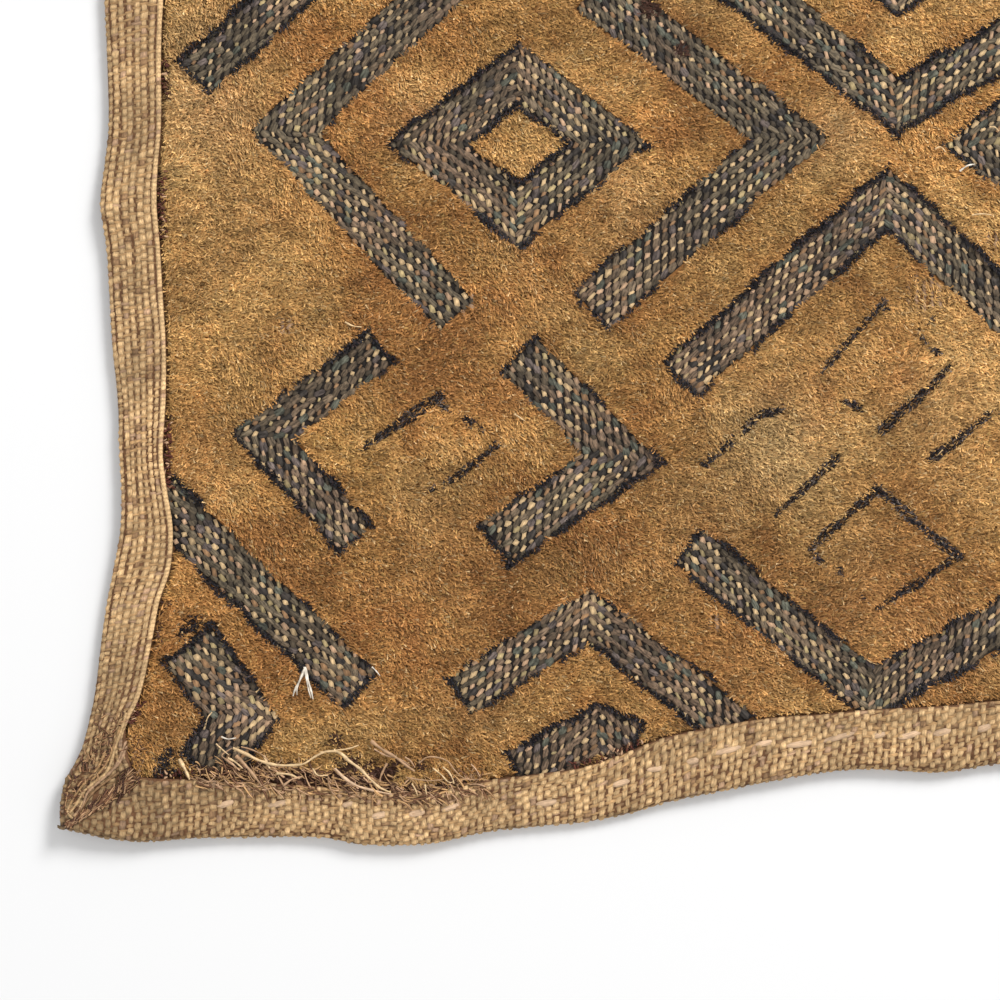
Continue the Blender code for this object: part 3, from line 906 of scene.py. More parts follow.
def weave_material(name):
    """Plain raffia weave for the underside: a checker of lighter and darker floats, as close as the yarns."""
    material, tree, shader = new_material(name, 0.85)
    place = add_node(tree, "ShaderNodeTexCoord").outputs["Object"]
    stretch = add_node(tree, "ShaderNodeMapping", Scale=UNDERSIDE_YARNS)
    tree.links.new(place, stretch.inputs["Vector"])
    checker = add_node(tree, "ShaderNodeTexChecker", Scale=1.0)
    checker.inputs["Color1"].default_value = (*INK["hem"], 1.0)
    checker.inputs["Color2"].default_value = (*INK["hem_dark"], 1.0)
    tree.links.new(stretch.outputs["Vector"], checker.inputs["Vector"])
    tint(tree, shader, checker.outputs["Color"], mapped(tree, noise_of(tree, place, 300.0, 3.0), 0.6, 1.3))
    emboss(tree, shader, checker.outputs["Fac"], 0.6, 0.0003)
    return material


# The cloth itself


def ring_stations():
    """Stations round the panel, anticlockwise, as a side and a place along it."""
    stations = []
    for name, _, _, _, with_rows in RUN:
        side = SIDES[name]
        low, high = side.low[side.axis], side.high[side.axis]
        count = int((high - low) / 4.0)
        places = np.linspace(low, high, count + 1)
        places = places[:-1] if with_rows else places[::-1][:-1]
        stations += [(side, p) for p in places]
    return stations


def fan_point(side, place, inward, wide):
    """A point of the loft, turned towards the hem's corner near the ends of a side."""
    edge, _, _ = side.at(place)
    beyond = max(inward - wide, 0.0)
    bend_place, bend_wide = place, wide + beyond
    for corner, above in ((side.low, 1), (side.high, -1)):
        bend = np.array(corner[2:4]) - np.sign(corner[2:4]) * beyond
        clear = (place - bend[side.axis]) * above
        if clear < FAN_CLEAR:
            bend_place = bend[side.axis] + above * FAN_CLEAR / (1 + FAN_CROWD * (FAN_CLEAR - clear))
        if place == corner[side.axis]:
            bend_place = bend[side.axis]
        if clear < FAN_BLEND:
            across = (bend[1 - side.axis] - edge) * side.sign
            bend_wide = across + (bend_wide - across) * soft_step(clear / FAN_BLEND)
    if beyond:
        along, into = bend_place, bend_wide
    else:
        share = inward / wide
        along, into = place + (bend_place - place) * share, bend_wide * share
    across = edge + side.sign * into
    return (across, along) if side.upright else (along, across)


# The cloth under the pile, the depth of its underside, and how far apart its points lie on both
CLOTH_TOP = 1.45
CLOTH_FOOT = 0.02
TOP_STEP = 7.0
FOOT_STEP = 30.0
TOP_CLEAR = 1.6


def cloth_mesh(base, weave):
    """The woven panel with its turned hem: one closed sheet, under all that is stitched on it."""
    rows = len(SECTION)
    loops = []
    for side, place in ring_stations():
        _, wide, lift = side.at(place)
        loop = []
        for start, inward, height in SECTION:
            d = inward if start == "out" else wide + inward
            x, y = fan_point(side, place, d, wide)
            z = height + lift * (1 - soft_step(d / (wide + UNDERSIDE_IN - 1)))
            loop.append((x, y, z + (waver(x, y) if height > 1.3 else 0.0)))
        loops.append(loop)
    count = len(loops)
    points = [p for loop in loops for p in loop]
    float_edge_shade = [loop[-1][:2] for loop in loops]
    faces = []
    for i in range(count):
        j = (i + 1) % count
        for k in range(rows - 1):
            faces.append((i * rows + k, i * rows + k + 1, j * rows + k + 1, j * rows + k))
    foot = [loop[0][:2] for loop in loops]
    for loop, keep_first, step in ((float_edge_shade, rows - 1, TOP_STEP), (foot, 0, FOOT_STEP)):
        flat = [Vector(p) for p in loop]
        x, y = np.meshgrid(np.arange(-240, 241, step), np.arange(-262, 263, step))
        inner = inside_hem(x, y) > (step * 0.6 + (TOP_CLEAR if keep_first else UNDERSIDE_IN))
        flat += [Vector(p) for p in zip(x[inner], y[inner])]
        edges = [(i, (i + 1) % count) for i in range(count)]
        out, _, triangles, first_of, _, _ = delaunay_2d_cdt(flat, edges, [], 1, 1e-5)
        taken = {}
        for i, origins in enumerate(first_of):
            for origin in origins:
                if origin < count:
                    taken[i] = origin * rows + keep_first
        for i, spot in enumerate(out):
            if i not in taken:
                taken[i] = len(points)
                height = CLOTH_TOP + float(waver(spot.x, spot.y)) if keep_first else CLOTH_FOOT
                points.append((spot.x, spot.y, height))
        faces += [tuple(taken[v] for v in t) for t in triangles]
    mesh = bpy.data.meshes.new("cloth")
    spots = np.array(points)
    mesh.from_pydata(to_frame(spots[:, 0], spots[:, 1], spots[:, 2]).tolist(), [], faces)
    made = bpy.data.objects.new("cloth", mesh)
    bpy.context.scene.collection.objects.link(made)
    work = bmesh.new()
    work.from_mesh(mesh)
    bmesh.ops.recalc_face_normals(work, faces=work.faces[:])
    work.to_mesh(mesh)
    work.free()
    tone = mesh.attributes.new("Tone", "FLOAT_COLOR", "POINT")
    rgba = np.ones((len(points), 4), np.float32)
    clear = inside_hem(spots[:, 0], spots[:, 1])
    # Painted shade: the cloth takes a darker brown under the pile and a still darker one under the hem's
    # floats, so the gaps between tufts and between floats read dark.
    rgba[:, :3] = np.where((clear > 0.8)[:, None], INK["thatch_in_shade"], INK["gap_shade"])
    tone.data.foreach_set("color", rgba.ravel())
    mesh.materials.append(base)
    mesh.materials.append(weave)
    for polygon in mesh.polygons:
        polygon.use_smooth = True
        if polygon.normal.z < -0.5 and polygon.center.z < 0.0006:
            polygon.material_index = 1
    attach(made, "root")
    ground = BVHTree.FromPolygons([tuple(p) for p in spots], [tuple(p.vertices) for p in mesh.polygons])
    return made, ground


# The hem's woven strands


WARP_PITCH = 1.5
WEFT_PITCH = 0.8


def pillow(kind):
    """The grid of a strand's float: places from -1 to 1, heights from 0 to 1, and faces."""
    many, few, ends = (-1.0, -0.45, 0.45, 1.0), (-1.0, 0.0, 1.0), (-0.9, 0.9)
    grids = {"fine": (many, few), "turned": (few, many), "plain": (few, few), "flat": (ends, ends)}
    spots, lines = grids[kind]
    u, v = np.meshgrid(spots, lines)
    u, v = u.ravel(), v.ravel()
    height = (1 - 0.9 * np.abs(u) ** 2.4) * (1 - 0.9 * np.abs(v) ** 2.4)
    if kind == "flat":
        height = np.full(4, 0.7)
    n, m = len(spots), len(lines)
    corner = np.array([j * n + i for j in range(m - 1) for i in range(n - 1)])
    return u, v, height, np.stack((corner, corner + 1, corner + n + 1, corner + n), -1)


def settle(x, y, z, relief, up, ground):
    """Heights near the panel's corners, where both hems cross, brought to lie on the cloth itself."""
    for corner in CORNERS.values():
        near = (np.hypot(x - corner[2], y - corner[3]) < CORNER_REACH) & (up > 0.7)
        for i in zip(*np.nonzero(near)):
            z[i] = max(z[i], cloth_height(ground, x[i], y[i], -RAY_START) + relief[i] + 0.04)
    return z


def hem_floats(side, rng):
    """Every float of the plain weave on one side: its place, how far over the hem it lies, which yarn it is
    of, and whether that is an upright yarn, a lying one or the rib on the hem's inner edge."""
    along_pitch, over_pitch = (WEFT_PITCH, WARP_PITCH) if side.upright else (WARP_PITCH, WEFT_PITCH)
    rib_at = WAY_T[RIB_ROW] * WAY_LONG
    shift = (rib_at - 0.5 * over_pitch) % over_pitch
    rib_row = round((rib_at - shift) / over_pitch - 0.5)
    low, high = side.place[0], side.place[-1]
    places = np.arange(low + 0.4, high - 0.3, along_pitch)
    rows = int((WAY_LONG - shift) / over_pitch)
    i, j = np.meshgrid(np.arange(len(places)), np.arange(rows), indexing="ij")
    i, j = i.ravel(), j.ravel()
    wander = lattice_noise(places[i], j * 37.0, 8.0, SEED + 21) - 0.5
    swing = lattice_noise(places[i], j * 9.0 + 900.0, 20.0, SEED + 22) - 0.5
    place = places[i] + 0.3 * (rng.random(len(i)) - 0.5) * along_pitch + swing * 1.4
    over = (j + 0.5) * over_pitch + shift + wander * 0.6
    rib = (j == rib_row) & side.upright
    over = np.where(rib, (j + 0.5) * over_pitch + shift, over)
    parallel = ((i + j) % 2 == 0) | rib
    return i, j, place, over, parallel, rib, parallel == side.upright


# A float of an upright and of a lying yarn: half its length and width, in pitches, and its height
UPRIGHT_FLOAT = (0.92 * WEFT_PITCH, 0.38 * WARP_PITCH, 0.4)
LYING_FLOAT = (0.66 * WARP_PITCH, 0.52 * WEFT_PITCH, 0.22)
HEM_ODD = (
    # from, to, share kept, colour, its share
    (0.0, 0.06, 0.0, "hem_dark", 1.0),
    (0.94, 1.0, 0.0, "hem_pink", 1.0),
)
# The shade in the photographed corner, and the left hem's darker upper stretch
CORNER_SHADE = (-250.0, -268.0, 24.0, 0.42)
LEFT_SHADE = (-185.0, 25.0, 0.1)


def hem_tone(side, x, y, upright, swell, rng):
    """The floats' tones: lighter and darker yarns, and the shade in the corner and in the mitres."""
    count = len(x)
    pick = rng.random(count)
    tone = odd_strands(np.where(upright[:, None], INK["hem"], INK["hem_dim"]), pick, HEM_ODD)
    drift = lattice_noise(x, y, 7.0, SEED + 24)
    patch = lattice_noise(x, y, 2.6, SEED + 26)
    bright = (0.68 + 0.2 * swell + 0.2 * rng.random(count)) * (0.72 + 0.3 * drift + 0.3 * patch)
    if side.name == "left":
        start, reach, by = LEFT_SHADE
        bright = bright * (1.07 - by * soft_step((y - start) / reach))
    near_x, near_y, reach, by = CORNER_SHADE
    near = np.hypot(x - near_x, y - near_y)
    bright = bright * (1 - by * np.exp(-((near / reach) ** 2)))
    bright = bright * (1 - 0.45 * np.exp(-((side.from_mitre(x, y) / 1.1) ** 2)))
    return tone * bright[:, None]


def hem_strands(kind, material, name, ground):
    """The floats of the hem's plain weave, in the photographed corner (fine) or beyond it (plain)."""
    rng = np.random.default_rng(SEED + (11 if kind == "fine" else 12))
    all_points, all_colours, all_strands, all_faces = [], [], [], []
    total = 0
    for side in SIDES.values():
        i, j, place, over, parallel, rib, upright = hem_floats(side, rng)
        x, y, _, _, _ = side.over(place, over / WAY_LONG)
        fine = fineness(x, y) > FINE_FROM
        inside = (place > side.place[0]) & (place < side.place[-1])
        kept = side.own(x, y) & (fine == (kind == "fine")) & inside
        rows = (i, j, place, over, parallel, rib, upright, x, y)
        i, j, place, over, parallel, rib, upright, x, y = (row[kept] for row in rows)
        yarn = np.where(parallel, j * 7 + 3, i * 5 + 11)
        swell = lattice_noise(yarn * 1.7 + 0.5, yarn * 3.1, 1.0, SEED + 23)
        tension = lattice_noise(x, y, 5.0, SEED + 25)
        half_long, half_wide, rise = (np.where(upright, *pair) for pair in zip(UPRIGHT_FLOAT, LYING_FLOAT))
        half_long = half_long * (0.74 + 0.52 * rng.random(len(i)))
        half_wide = half_wide * (0.8 + 0.4 * rng.random(len(i)))
        half_long = np.where(rng.random(len(i)) < 0.1, half_long * 0.7, half_long)
        half_wide = half_wide * np.where(upright, 0.74 + 0.36 * swell + 0.2 * tension, 0.86 + 0.28 * swell)
        half_long = np.where(rib, (0.66 + 0.2 * tension) * WEFT_PITCH, half_long)
        half_wide = np.where(rib, 0.46 + 0.18 * tension, half_wide)
        rise = rise * (0.75 + 0.5 * rng.random(len(i)))
        half_place = np.where(parallel, half_long, half_wide)
        half_over = np.where(parallel, half_wide, half_long)
        skew = 0.36 * (rng.random(len(i)) - 0.5)
        for shape, chosen in (
            ({"fine": "turned" if side.upright else "fine", "plain": "plain"}[kind], upright),
            ({"fine": "plain", "plain": "flat"}[kind], ~upright),
        ):
            u, v, height, faces = pillow(shape)
            n = int(chosen.sum())
            along, across = half_place[chosen][:, None], half_over[chosen][:, None]
            slant = skew[chosen][:, None]
            pu = place[chosen][:, None] + along * u + slant * across * v
            pt = over[chosen][:, None] + across * v - slant * along * u
            px, py, pz, face_in, face_up = side.over(pu, np.clip(pt / WAY_LONG, 0.0, 1.0))
            lift = rise[chosen][:, None] * height - 0.1
            shift = side.sign * face_in * lift
            px, py = (px + shift, py) if side.upright else (px, py + shift)
            pz = settle(px, py, pz + face_up * lift, lift, face_up, ground)
            tone = hem_tone(side, x[chosen], y[chosen], upright[chosen], swell[chosen], rng)
            # Painted shade: each float is darker towards its edges and ends, by its height, for the gaps
            # between the floats.
            float_edge_shade = 0.36 + 0.64 * np.clip(height, 0, 1) ** 0.6
            colours = tone[:, None, :] * float_edge_shade[None, :, None]
            lead = np.where(parallel[chosen][:, None], u, v)
            wide = np.where(parallel[chosen][:, None], v, u)
            strand_u = lead * 0.7 + (yarn[chosen] * 3.17)[:, None]
            strand_v = wide * 0.5 + (yarn[chosen] * 1.31)[:, None] + i[chosen][:, None] * 0.37
            all_points.append(to_frame(px, py, pz).reshape(-1, 3))
            all_colours.append(colours.reshape(-1, 3))
            all_strands.append(np.stack((strand_u, strand_v), -1).reshape(-1, 2))
            all_faces.append(copies(faces, n, len(u), total))
            total += n * len(u)
    return make_piece(
        name,
        np.concatenate(all_points),
        np.concatenate(all_faces),
        np.concatenate(all_colours),
        material,
        np.concatenate(all_strands),
    )


# The stitched bands


# The counted cells that hold one stitch or check each, and the painted shade under them
CELL_WIDE = 1.6
CELL_HIGH = 1.2
BED_HEIGHT = 1.56
BED_ROWS = 3


def outlines(line, width, closed, inset):
    """The outline loops of a band, drawn in by an inset."""
    points = [np.array(p, float) for p in line]
    half = width / 2 - inset
    if not closed:
        first = (points[1] - points[0]) / np.linalg.norm(points[1] - points[0])
        last = (points[-1] - points[-2]) / np.linalg.norm(points[-1] - points[-2])
        points[0] = points[0] + first * inset
        points[-1] = points[-1] - last * inset
    count = len(points)
    left, right = [], []
    for i, point in enumerate(points):
        before = points[(i - 1) % count] if closed or i else None
        after = points[(i + 1) % count] if closed or i < count - 1 else None
        into = after - point if before is None else point - before
        away = point - before if after is None else after - point
        into, away = into / np.linalg.norm(into), away / np.linalg.norm(away)
        side = np.array((-into[1] - away[1], into[0] + away[0]))
        side = side / np.linalg.norm(side)
        reach = half / max(side @ np.array((-into[1], into[0])), 0.35)
        left.append(point + side * reach)
        right.append(point - side * reach)
    return left, right


def band_shade_beds(bands, material):
    """Painted shade under the stitches of each band: a near-black grid that follows the panel's face and shows
    as dark slits between the stitches.
    """
    points, faces = [], []
    for line, width, closed, _, _ in bands:
        left, right = outlines(line, width, closed, 0.35)
        count = len(left)
        for k in range(count if closed else count - 1):
            m = (k + 1) % count
            steps = max(int(np.linalg.norm(left[m] - left[k]) / 3.0), 1)
            u, v = np.meshgrid(np.linspace(0, 1, steps + 1), np.linspace(0, 1, BED_ROWS + 1), indexing="ij")
            u, v = u.reshape(-1, 1), v.reshape(-1, 1)
            grid = (left[k] * (1 - v) + right[k] * v) * (1 - u) + (left[m] * (1 - v) + right[m] * v) * u
            for s in range(steps):
                for c in range(BED_ROWS):
                    first = s * (BED_ROWS + 1) + c
                    quad = [first, first + BED_ROWS + 1, first + BED_ROWS + 2, first + 1]
                    middle = grid[quad].mean(axis=0)
                    if inside_hem(middle[0], middle[1]) > -1.5:
                        faces.append([len(points) + n for n in quad])
            points += list(grid)
    spots = np.array(points)
    z = BED_HEIGHT + waver(spots[:, 0], spots[:, 1]) + face_rise(spots[:, 0], spots[:, 1])
    # Painted shade: near-black, so the slits between the stitches read dark.
    colours = np.tile(INK["bed_shade"], (len(spots), 1))
    points = to_frame(spots[:, 0], spots[:, 1], z)
    return make_piece("band_shade_beds", points, np.array(faces)[:, ::-1], colours, material)


# How far from a band's edge the counted stitches begin, and how near the edge no check is light
BAND_EDGE = 0.25
CHECK_EDGE = 0.55


def band_cells(deep):
    """The cells of the counted ground that lie in a band: places, whether each is a stitch, and depth."""
    columns = np.arange(int(-252 / CELL_WIDE), int(252 / CELL_WIDE))
    rows = np.arange(int(-272 / CELL_HIGH), int(272 / CELL_HIGH))
    i, j = np.meshgrid(columns, rows, indexing="ij")
    i, j = i.ravel(), j.ravel()
    x, y = i * CELL_WIDE, j * CELL_HIGH
    shift_x = 3.0 * (lattice_noise(x, y, 36.0, SEED + 31) - 0.5)
    shift_y = 3.0 * (lattice_noise(x, y, 33.0, SEED + 32) - 0.5)
    shift_x = shift_x + 0.5 * (lattice_noise(x, y, 5.0, SEED + 34) - 0.5)
    shift_y = shift_y + 0.5 * (lattice_noise(x, y, 5.0, SEED + 35) - 0.5)
    x, y = x + shift_x + 0.02 * y, y + shift_y + 0.03 * x
    depth = read_map(deep, x, y) + 0.9 * (lattice_noise(x, y, 2.4, SEED + 33) - 0.5)
    bare = np.zeros(len(x), bool)
    for px, py, reach in WORN:
        bare |= np.hypot(x - px, y - py) < reach * (0.7 + 0.5 * lattice_noise(x, y, 2.2, SEED + 36))
    bare &= depth < BAND_EDGE
    kept = ((depth > BAND_EDGE) | bare) & (inside_hem(x, y) > -UNDER_HEM)
    depth = np.where(bare, -1.0, depth)
    return x[kept], y[kept], ((i + j) % 2 != 0)[kept] & ~bare[kept], depth[kept]


def leaf(kind):
    """The grid of one flat stitch: places along and across from -1 to 1, heights from 0 to 1, and faces."""
    if kind == "plain":
        s, t = np.array((-1.0, 0.0, 1.0, 0.0, 0.0)), np.array((0.0, -0.9, 0.0, 0.9, 0.0))
        faces = np.array(((0, 1, 4), (1, 2, 4), (2, 3, 4), (3, 0, 4)))
        return s, t, np.array((0.3, 0.4, 0.3, 0.4, 1.0)), faces
    alongs, widths, highs = (-1.0, -0.55, 0.55, 1.0), (0.5, 1.0, 1.0, 0.5), (0.3, 1.0, 1.0, 0.3)
    s, t, h = [], [], []
    for along, width, high in zip(alongs, widths, highs):
        for across in (-1.0, -0.55, 0.55, 1.0):
            s.append(along)
            t.append(across * width)
            h.append(high * (1.0 if abs(across) < 0.9 else 0.2))
    faces = [(k * 4 + m, k * 4 + m + 4, k * 4 + m + 5, k * 4 + m + 1) for k in range(3) for m in range(3)]
    return np.array(s), np.array(t), np.array(h), np.array(faces)


# How the flat stitches lean, on arms that rise to the right and on arms that fall to the right
LEAN_UP, LEAN_DOWN = 0.88, -0.9
STITCH_LONG, STITCH_WIDE, STITCH_RISE = 1.16, 0.68, 0.19
STITCH_ODD = (
    # from, to, share kept, colour, its share
    (0.0, 0.08, 0.0, "ink", 1.0),
    (0.8, 0.9, 0.0, "green_grey", 1.0),
    (0.9, 1.0, 0.0, "violet_grey", 1.0),
)


def band_stitches(cells, turn, kind, material, name):
    """The dark flat stitches of the bands."""
    rng = np.random.default_rng(SEED + (41 if kind == "fine" else 42))
    x, y, stitch, _ = cells
    kept = stitch & ((fineness(x, y) > FINE_FROM) == (kind == "fine"))
    x, y = x[kept], y[kept]
    count = len(x)
    way = read_map(turn, x, y)
    way = np.where(np.cos(way) < 0, way + math.pi, way)
    way = np.arctan2(np.sin(way), np.cos(way))
    lean = np.where(way >= 0, LEAN_UP, LEAN_DOWN) + 0.46 * (rng.random(count) - 0.5)
    lean = lean + 0.5 * (lattice_noise(x, y, 4.0, SEED + 44) - 0.5)
    lean = lean + 0.9 * (lattice_noise(x, y, 24.0, SEED + 46) - 0.5)
    long = STITCH_LONG * (0.78 + 0.44 * rng.random(count))
    wide = STITCH_WIDE * (0.72 + 0.5 * rng.random(count))
    s, t, h, faces = leaf(kind)
    px, py = turned(x, y, lean, s * long[:, None], t * wide[:, None])
    rise = STITCH_RISE * (0.7 + 0.6 * rng.random(count))
    level = BED_HEIGHT + 0.06 + waver(px, py) + face_rise(px, py)
    pz = level + rise[:, None] * h + 0.07 * s + 0.05 * rng.random(count)[:, None]
    pick = rng.random(count)
    drift = lattice_noise(x, y, 14.0, SEED + 43) * 3
    tone = INK["charcoal"] + (INK["olive_grey"] - INK["charcoal"]) * soft_step(drift - 1)[:, None]
    tone = tone + (INK["brown_grey"] - tone) * soft_step(1.6 - drift)[:, None]
    tone = odd_strands(tone, pick, STITCH_ODD)
    bright = (0.6 + 0.56 * rng.random(count)) * (0.82 + 0.36 * lattice_noise(x, y, 6.0, SEED + 45))
    # Painted shade and light: each stitch is darker at its edges and lighter along its raised middle, by its
    # height.
    colours = tone[:, None, :] * (bright[:, None] * (0.5 + 0.54 * h))[..., None]
    return make_piece(
        name,
        to_frame(px, py, pz),
        copies(faces, count, len(s)),
        colours,
        material,
        strand_places(s * 0.9, t * 0.5, 1.37, 0.73, count),
    )


# Places where the light checks are larger and closer, or smaller and fewer
CHECKED = (
    # x, y, reach, by
    (-233.0, -246.0, 7.0, 0.5),
    (-221.0, -252.0, 4.0, 0.3),
    (-181.0, -171.0, 3.5, 0.5),
    (-157.0, -191.0, 7.0, 0.2),
    (-168.0, -217.0, 6.0, 0.25),
    (-136.0, -219.0, 4.0, 0.4),
    (-178.0, -247.0, 6.0, 0.25),
    (-141.0, -167.0, 8.0, 0.05),
    (-76.0, -140.0, 9.0, 0.3),
    (-164.0, -156.0, 6.0, 0.25),
    (-170.0, -122.0, 7.0, -0.25),
    (-225.0, -120.0, 10.0, -0.25),
    (-203.0, -124.0, 12.0, -0.2),
    (-112.0, -131.0, 8.0, -0.3),
    (-139.0, -113.0, 10.0, -0.25),
    (-150.0, -140.0, 6.0, -0.2),
    (-160.0, -237.0, 8.0, 0.15),
    (-214.0, -230.0, 10.0, 0.25),
    (-203.0, -243.0, 8.0, 0.2),
    (-210.0, -205.0, 8.0, 0.2),
    (-203.0, -215.5, 3.6, 0.6),
)


CHECK_HALF_WIDE, CHECK_HALF_HIGH, CHECK_RISE = 0.46, 0.8, 0.26
CHECK_LEAN_UP, CHECK_LEAN_DOWN = -0.38, 0.4
CHECK_ODD = (
    # from, to, share kept, colour, its share
    (0.0, 0.18, 0.0, "check_pink", 1.0),
    (0.18, 0.28, 0.0, "check_olive", 1.0),
    (0.28, 0.52, 0.0, "check_brown", 1.0),
)


def band_checks(cells, turn, kind, material, name):
    """The light checks of the ground that show between the stitches."""
    rng = np.random.default_rng(SEED + (51 if kind == "fine" else 52))
    x, y, stitch, depth = cells
    sparse = 0.7 * lattice_noise(x, y, 11.0, SEED + 53) + 0.3 * lattice_noise(x, y, 3.0, SEED + 54)
    for px, py, reach, by in CHECKED:
        sparse = sparse + by * np.exp(-((x - px) ** 2 + (y - py) ** 2) / reach**2)
    light = rng.random(len(x)) < 0.5 + 0.54 * soft_step((sparse - 0.25) / 0.4)
    light &= depth > CHECK_EDGE
    bare = depth < 0
    kept = ~stitch & ((fineness(x, y) > FINE_FROM) == (kind == "fine"))
    x, y, sparse, light, bare = (row[kept] for row in (x, y, sparse, light, bare))
    count = len(x)
    u, v, height, faces = pillow("plain" if kind == "fine" else "flat")
    size = np.where(light, 0.46 + 0.74 * np.clip(sparse, 0.1, 1.2), 0.9)
    half_wide = CHECK_HALF_WIDE * size * (0.66 + 0.66 * rng.random(count))
    half_high = CHECK_HALF_HIGH * size * (0.66 + 0.66 * rng.random(count))
    way = read_map(turn, x, y)
    lean = np.where(np.sin(way) * np.cos(way) >= 0, CHECK_LEAN_UP, CHECK_LEAN_DOWN)
    lean = lean + 0.5 * (rng.random(count) - 0.5)
    px, py = turned(x, y, lean, half_wide[:, None] * u, half_high[:, None] * v)
    level = BED_HEIGHT + 0.14 + waver(px, py) + face_rise(px, py)
    pz = level + CHECK_RISE * height + 0.06 * rng.random(count)[:, None]
    pick = rng.random(count)
    tone = odd_strands(np.tile(INK["check"], (count, 1)), pick, CHECK_ODD)
    tone = np.where(light[:, None], tone, INK["charcoal"] * 0.8)
    ground_tone = INK["hem_pink"] * (0.75 + 0.35 * rng.random(count))[:, None]
    tone = np.where(bare[:, None], ground_tone, tone)
    bright = 0.58 + 0.52 * rng.random(count)
    # Painted shade and light: each check is darker at its edges and lighter at its raised middle, by its
    # height.
    colours = tone[:, None, :] * (bright[:, None] * (0.5 + 0.5 * height))[..., None]
    return make_piece(
        name,
        to_frame(px, py, pz),
        copies(faces, count, len(u)),
        colours,
        material,
        strand_places(v * 0.6, u * 0.4, 1.91, 0.57, count),
    )


# The cut pile


# Strands of pile on a square millimetre, where the photograph looks and beyond it, and their roots' height
FINE_TUFTS = 12.3
PLAIN_TUFTS = 2.0
PILE_ROOT = 1.5

# Odd places in the pile: worn to the ground weave, darkened (dark matting, and painted shadow under loose
# strands), or patched with black
WORN = (
    # x, y, reach
    (-85.5, -169.0, 4.6),
    (-177.5, -170.5, 2.4),
    (-128.0, -234.5, 2.2),
    (-72.0, -158.0, 2.6),
    (-214.0, -175.0, 2.2),
)
# The first two spots are dark matting; the other five, beside the frayed lower hem, are painted shadow under
# its loose strands.
MATTED_AND_SHADOW_SPOTS = (
    # x, y, reach
    (-141.0, -111.4, 2.3),
    (-134.8, -120.0, 1.6),
    (-204.0, -258.0, 1.9),
    (-201.4, -263.4, 2.9),
    (-196.8, -265.0, 3.0),
    (-192.4, -263.8, 2.0),
    (-187.0, -263.0, 1.4),
)
BLACKED = (
    # x, y, reach
    (-237.6, -260.6, 1.6),
    (-238.2, -262.4, 2.1),
    (-239.4, -264.4, 1.3),
    (-232.6, -235.2, 2.5),
    (-234.8, -236.6, 1.6),
)
# Where the hem's inner edge is frayed, along the bottom: from x, to x, and how far from the hem the pile takes
# painted shadow there
FRAYED = (
    (-232.0, -226.0, 0.8),
    (-226.0, -192.0, 1.6),
    (-192.0, -178.0, 0.6),
)


# Single odd strands of the pile, and the mark of a tuft that stands in no thin line
PILE_ODD = (
    # from, to, share kept, colour, its share
    # The lightest strands are partly lighter fibres and partly painted highlights; the strands darkened to
    # four tenths are painted shade, standing for the dark gaps between tufts.
    (0.0, 0.045, 0.45, "bright", 0.42),
    (0.4, 0.47, 0.4, "umber", 0.0),
    (0.84, 0.9, 0.5, "olive", 0.5),
    (0.9, 1.0, 0.55, "russet", 0.35),
)
NO_LINE = 9.0


def pile_tone(x, y, depth, rng):
    """The pile's colour at places: gold with soft patches, streaks and single odd strands."""
    count = len(x)
    wide = lattice_noise(x, y, 26.0, SEED + 61)
    mid = lattice_noise(x, y, 9.0, SEED + 62)
    fine = lattice_noise(x * 0.6, y * 1.5, 2.2, SEED + 63)
    small = lattice_noise(x, y, 3.2, SEED + 64)
    tone = np.tile(INK["gold"], (count, 1))
    share = soft_step((wide * 0.45 + mid * 0.35 + small * 0.2 - 0.47) / 0.3) * 0.55
    tone = tone + (INK["straw"] - tone) * share[:, None]
    share = soft_step((0.5 - wide * 0.25 - mid * 0.5 - small * 0.25) / 0.24) * 0.6
    tone = tone + (INK["russet"] - tone) * share[:, None]
    for px, py, reach, colour, strength in PATCHES:
        share = strength * np.exp(-((x - px) ** 2 + (y - py) ** 2) / (reach * reach) * 1.2)
        share = share * (0.7 + 0.6 * mid)
        tone = tone + (INK[colour] - tone) * share[:, None]
    beside = np.exp(-np.clip(-depth, 0, 9) / 1.8) * 0.4
    tone = tone + (INK["russet"] - tone) * beside[:, None]
    pick = rng.random(count)
    tone = odd_strands(tone, pick, PILE_ODD)
    clump = lattice_noise(x, y, 0.7, SEED + 66)
    bright = (0.84 + 0.34 * rng.random(count)) * (0.78 + 0.3 * fine + 0.18 * small)
    bright = bright * (0.74 + 0.67 * clump)
    bright = bright * (0.82 + 0.36 * lattice_noise(x, y, 13.0, SEED + 65))
    return tone * bright[:, None]


def thinned(x, y, spots, rng):
    """Which places fall in the middles of the listed spots."""
    found = np.zeros(len(x), bool)
    for px, py, reach in spots:
        away = np.hypot(x - px, y - py) / reach
        found |= rng.random(len(x)) < np.clip(1.15 - away, 0, 0.85)
    return found


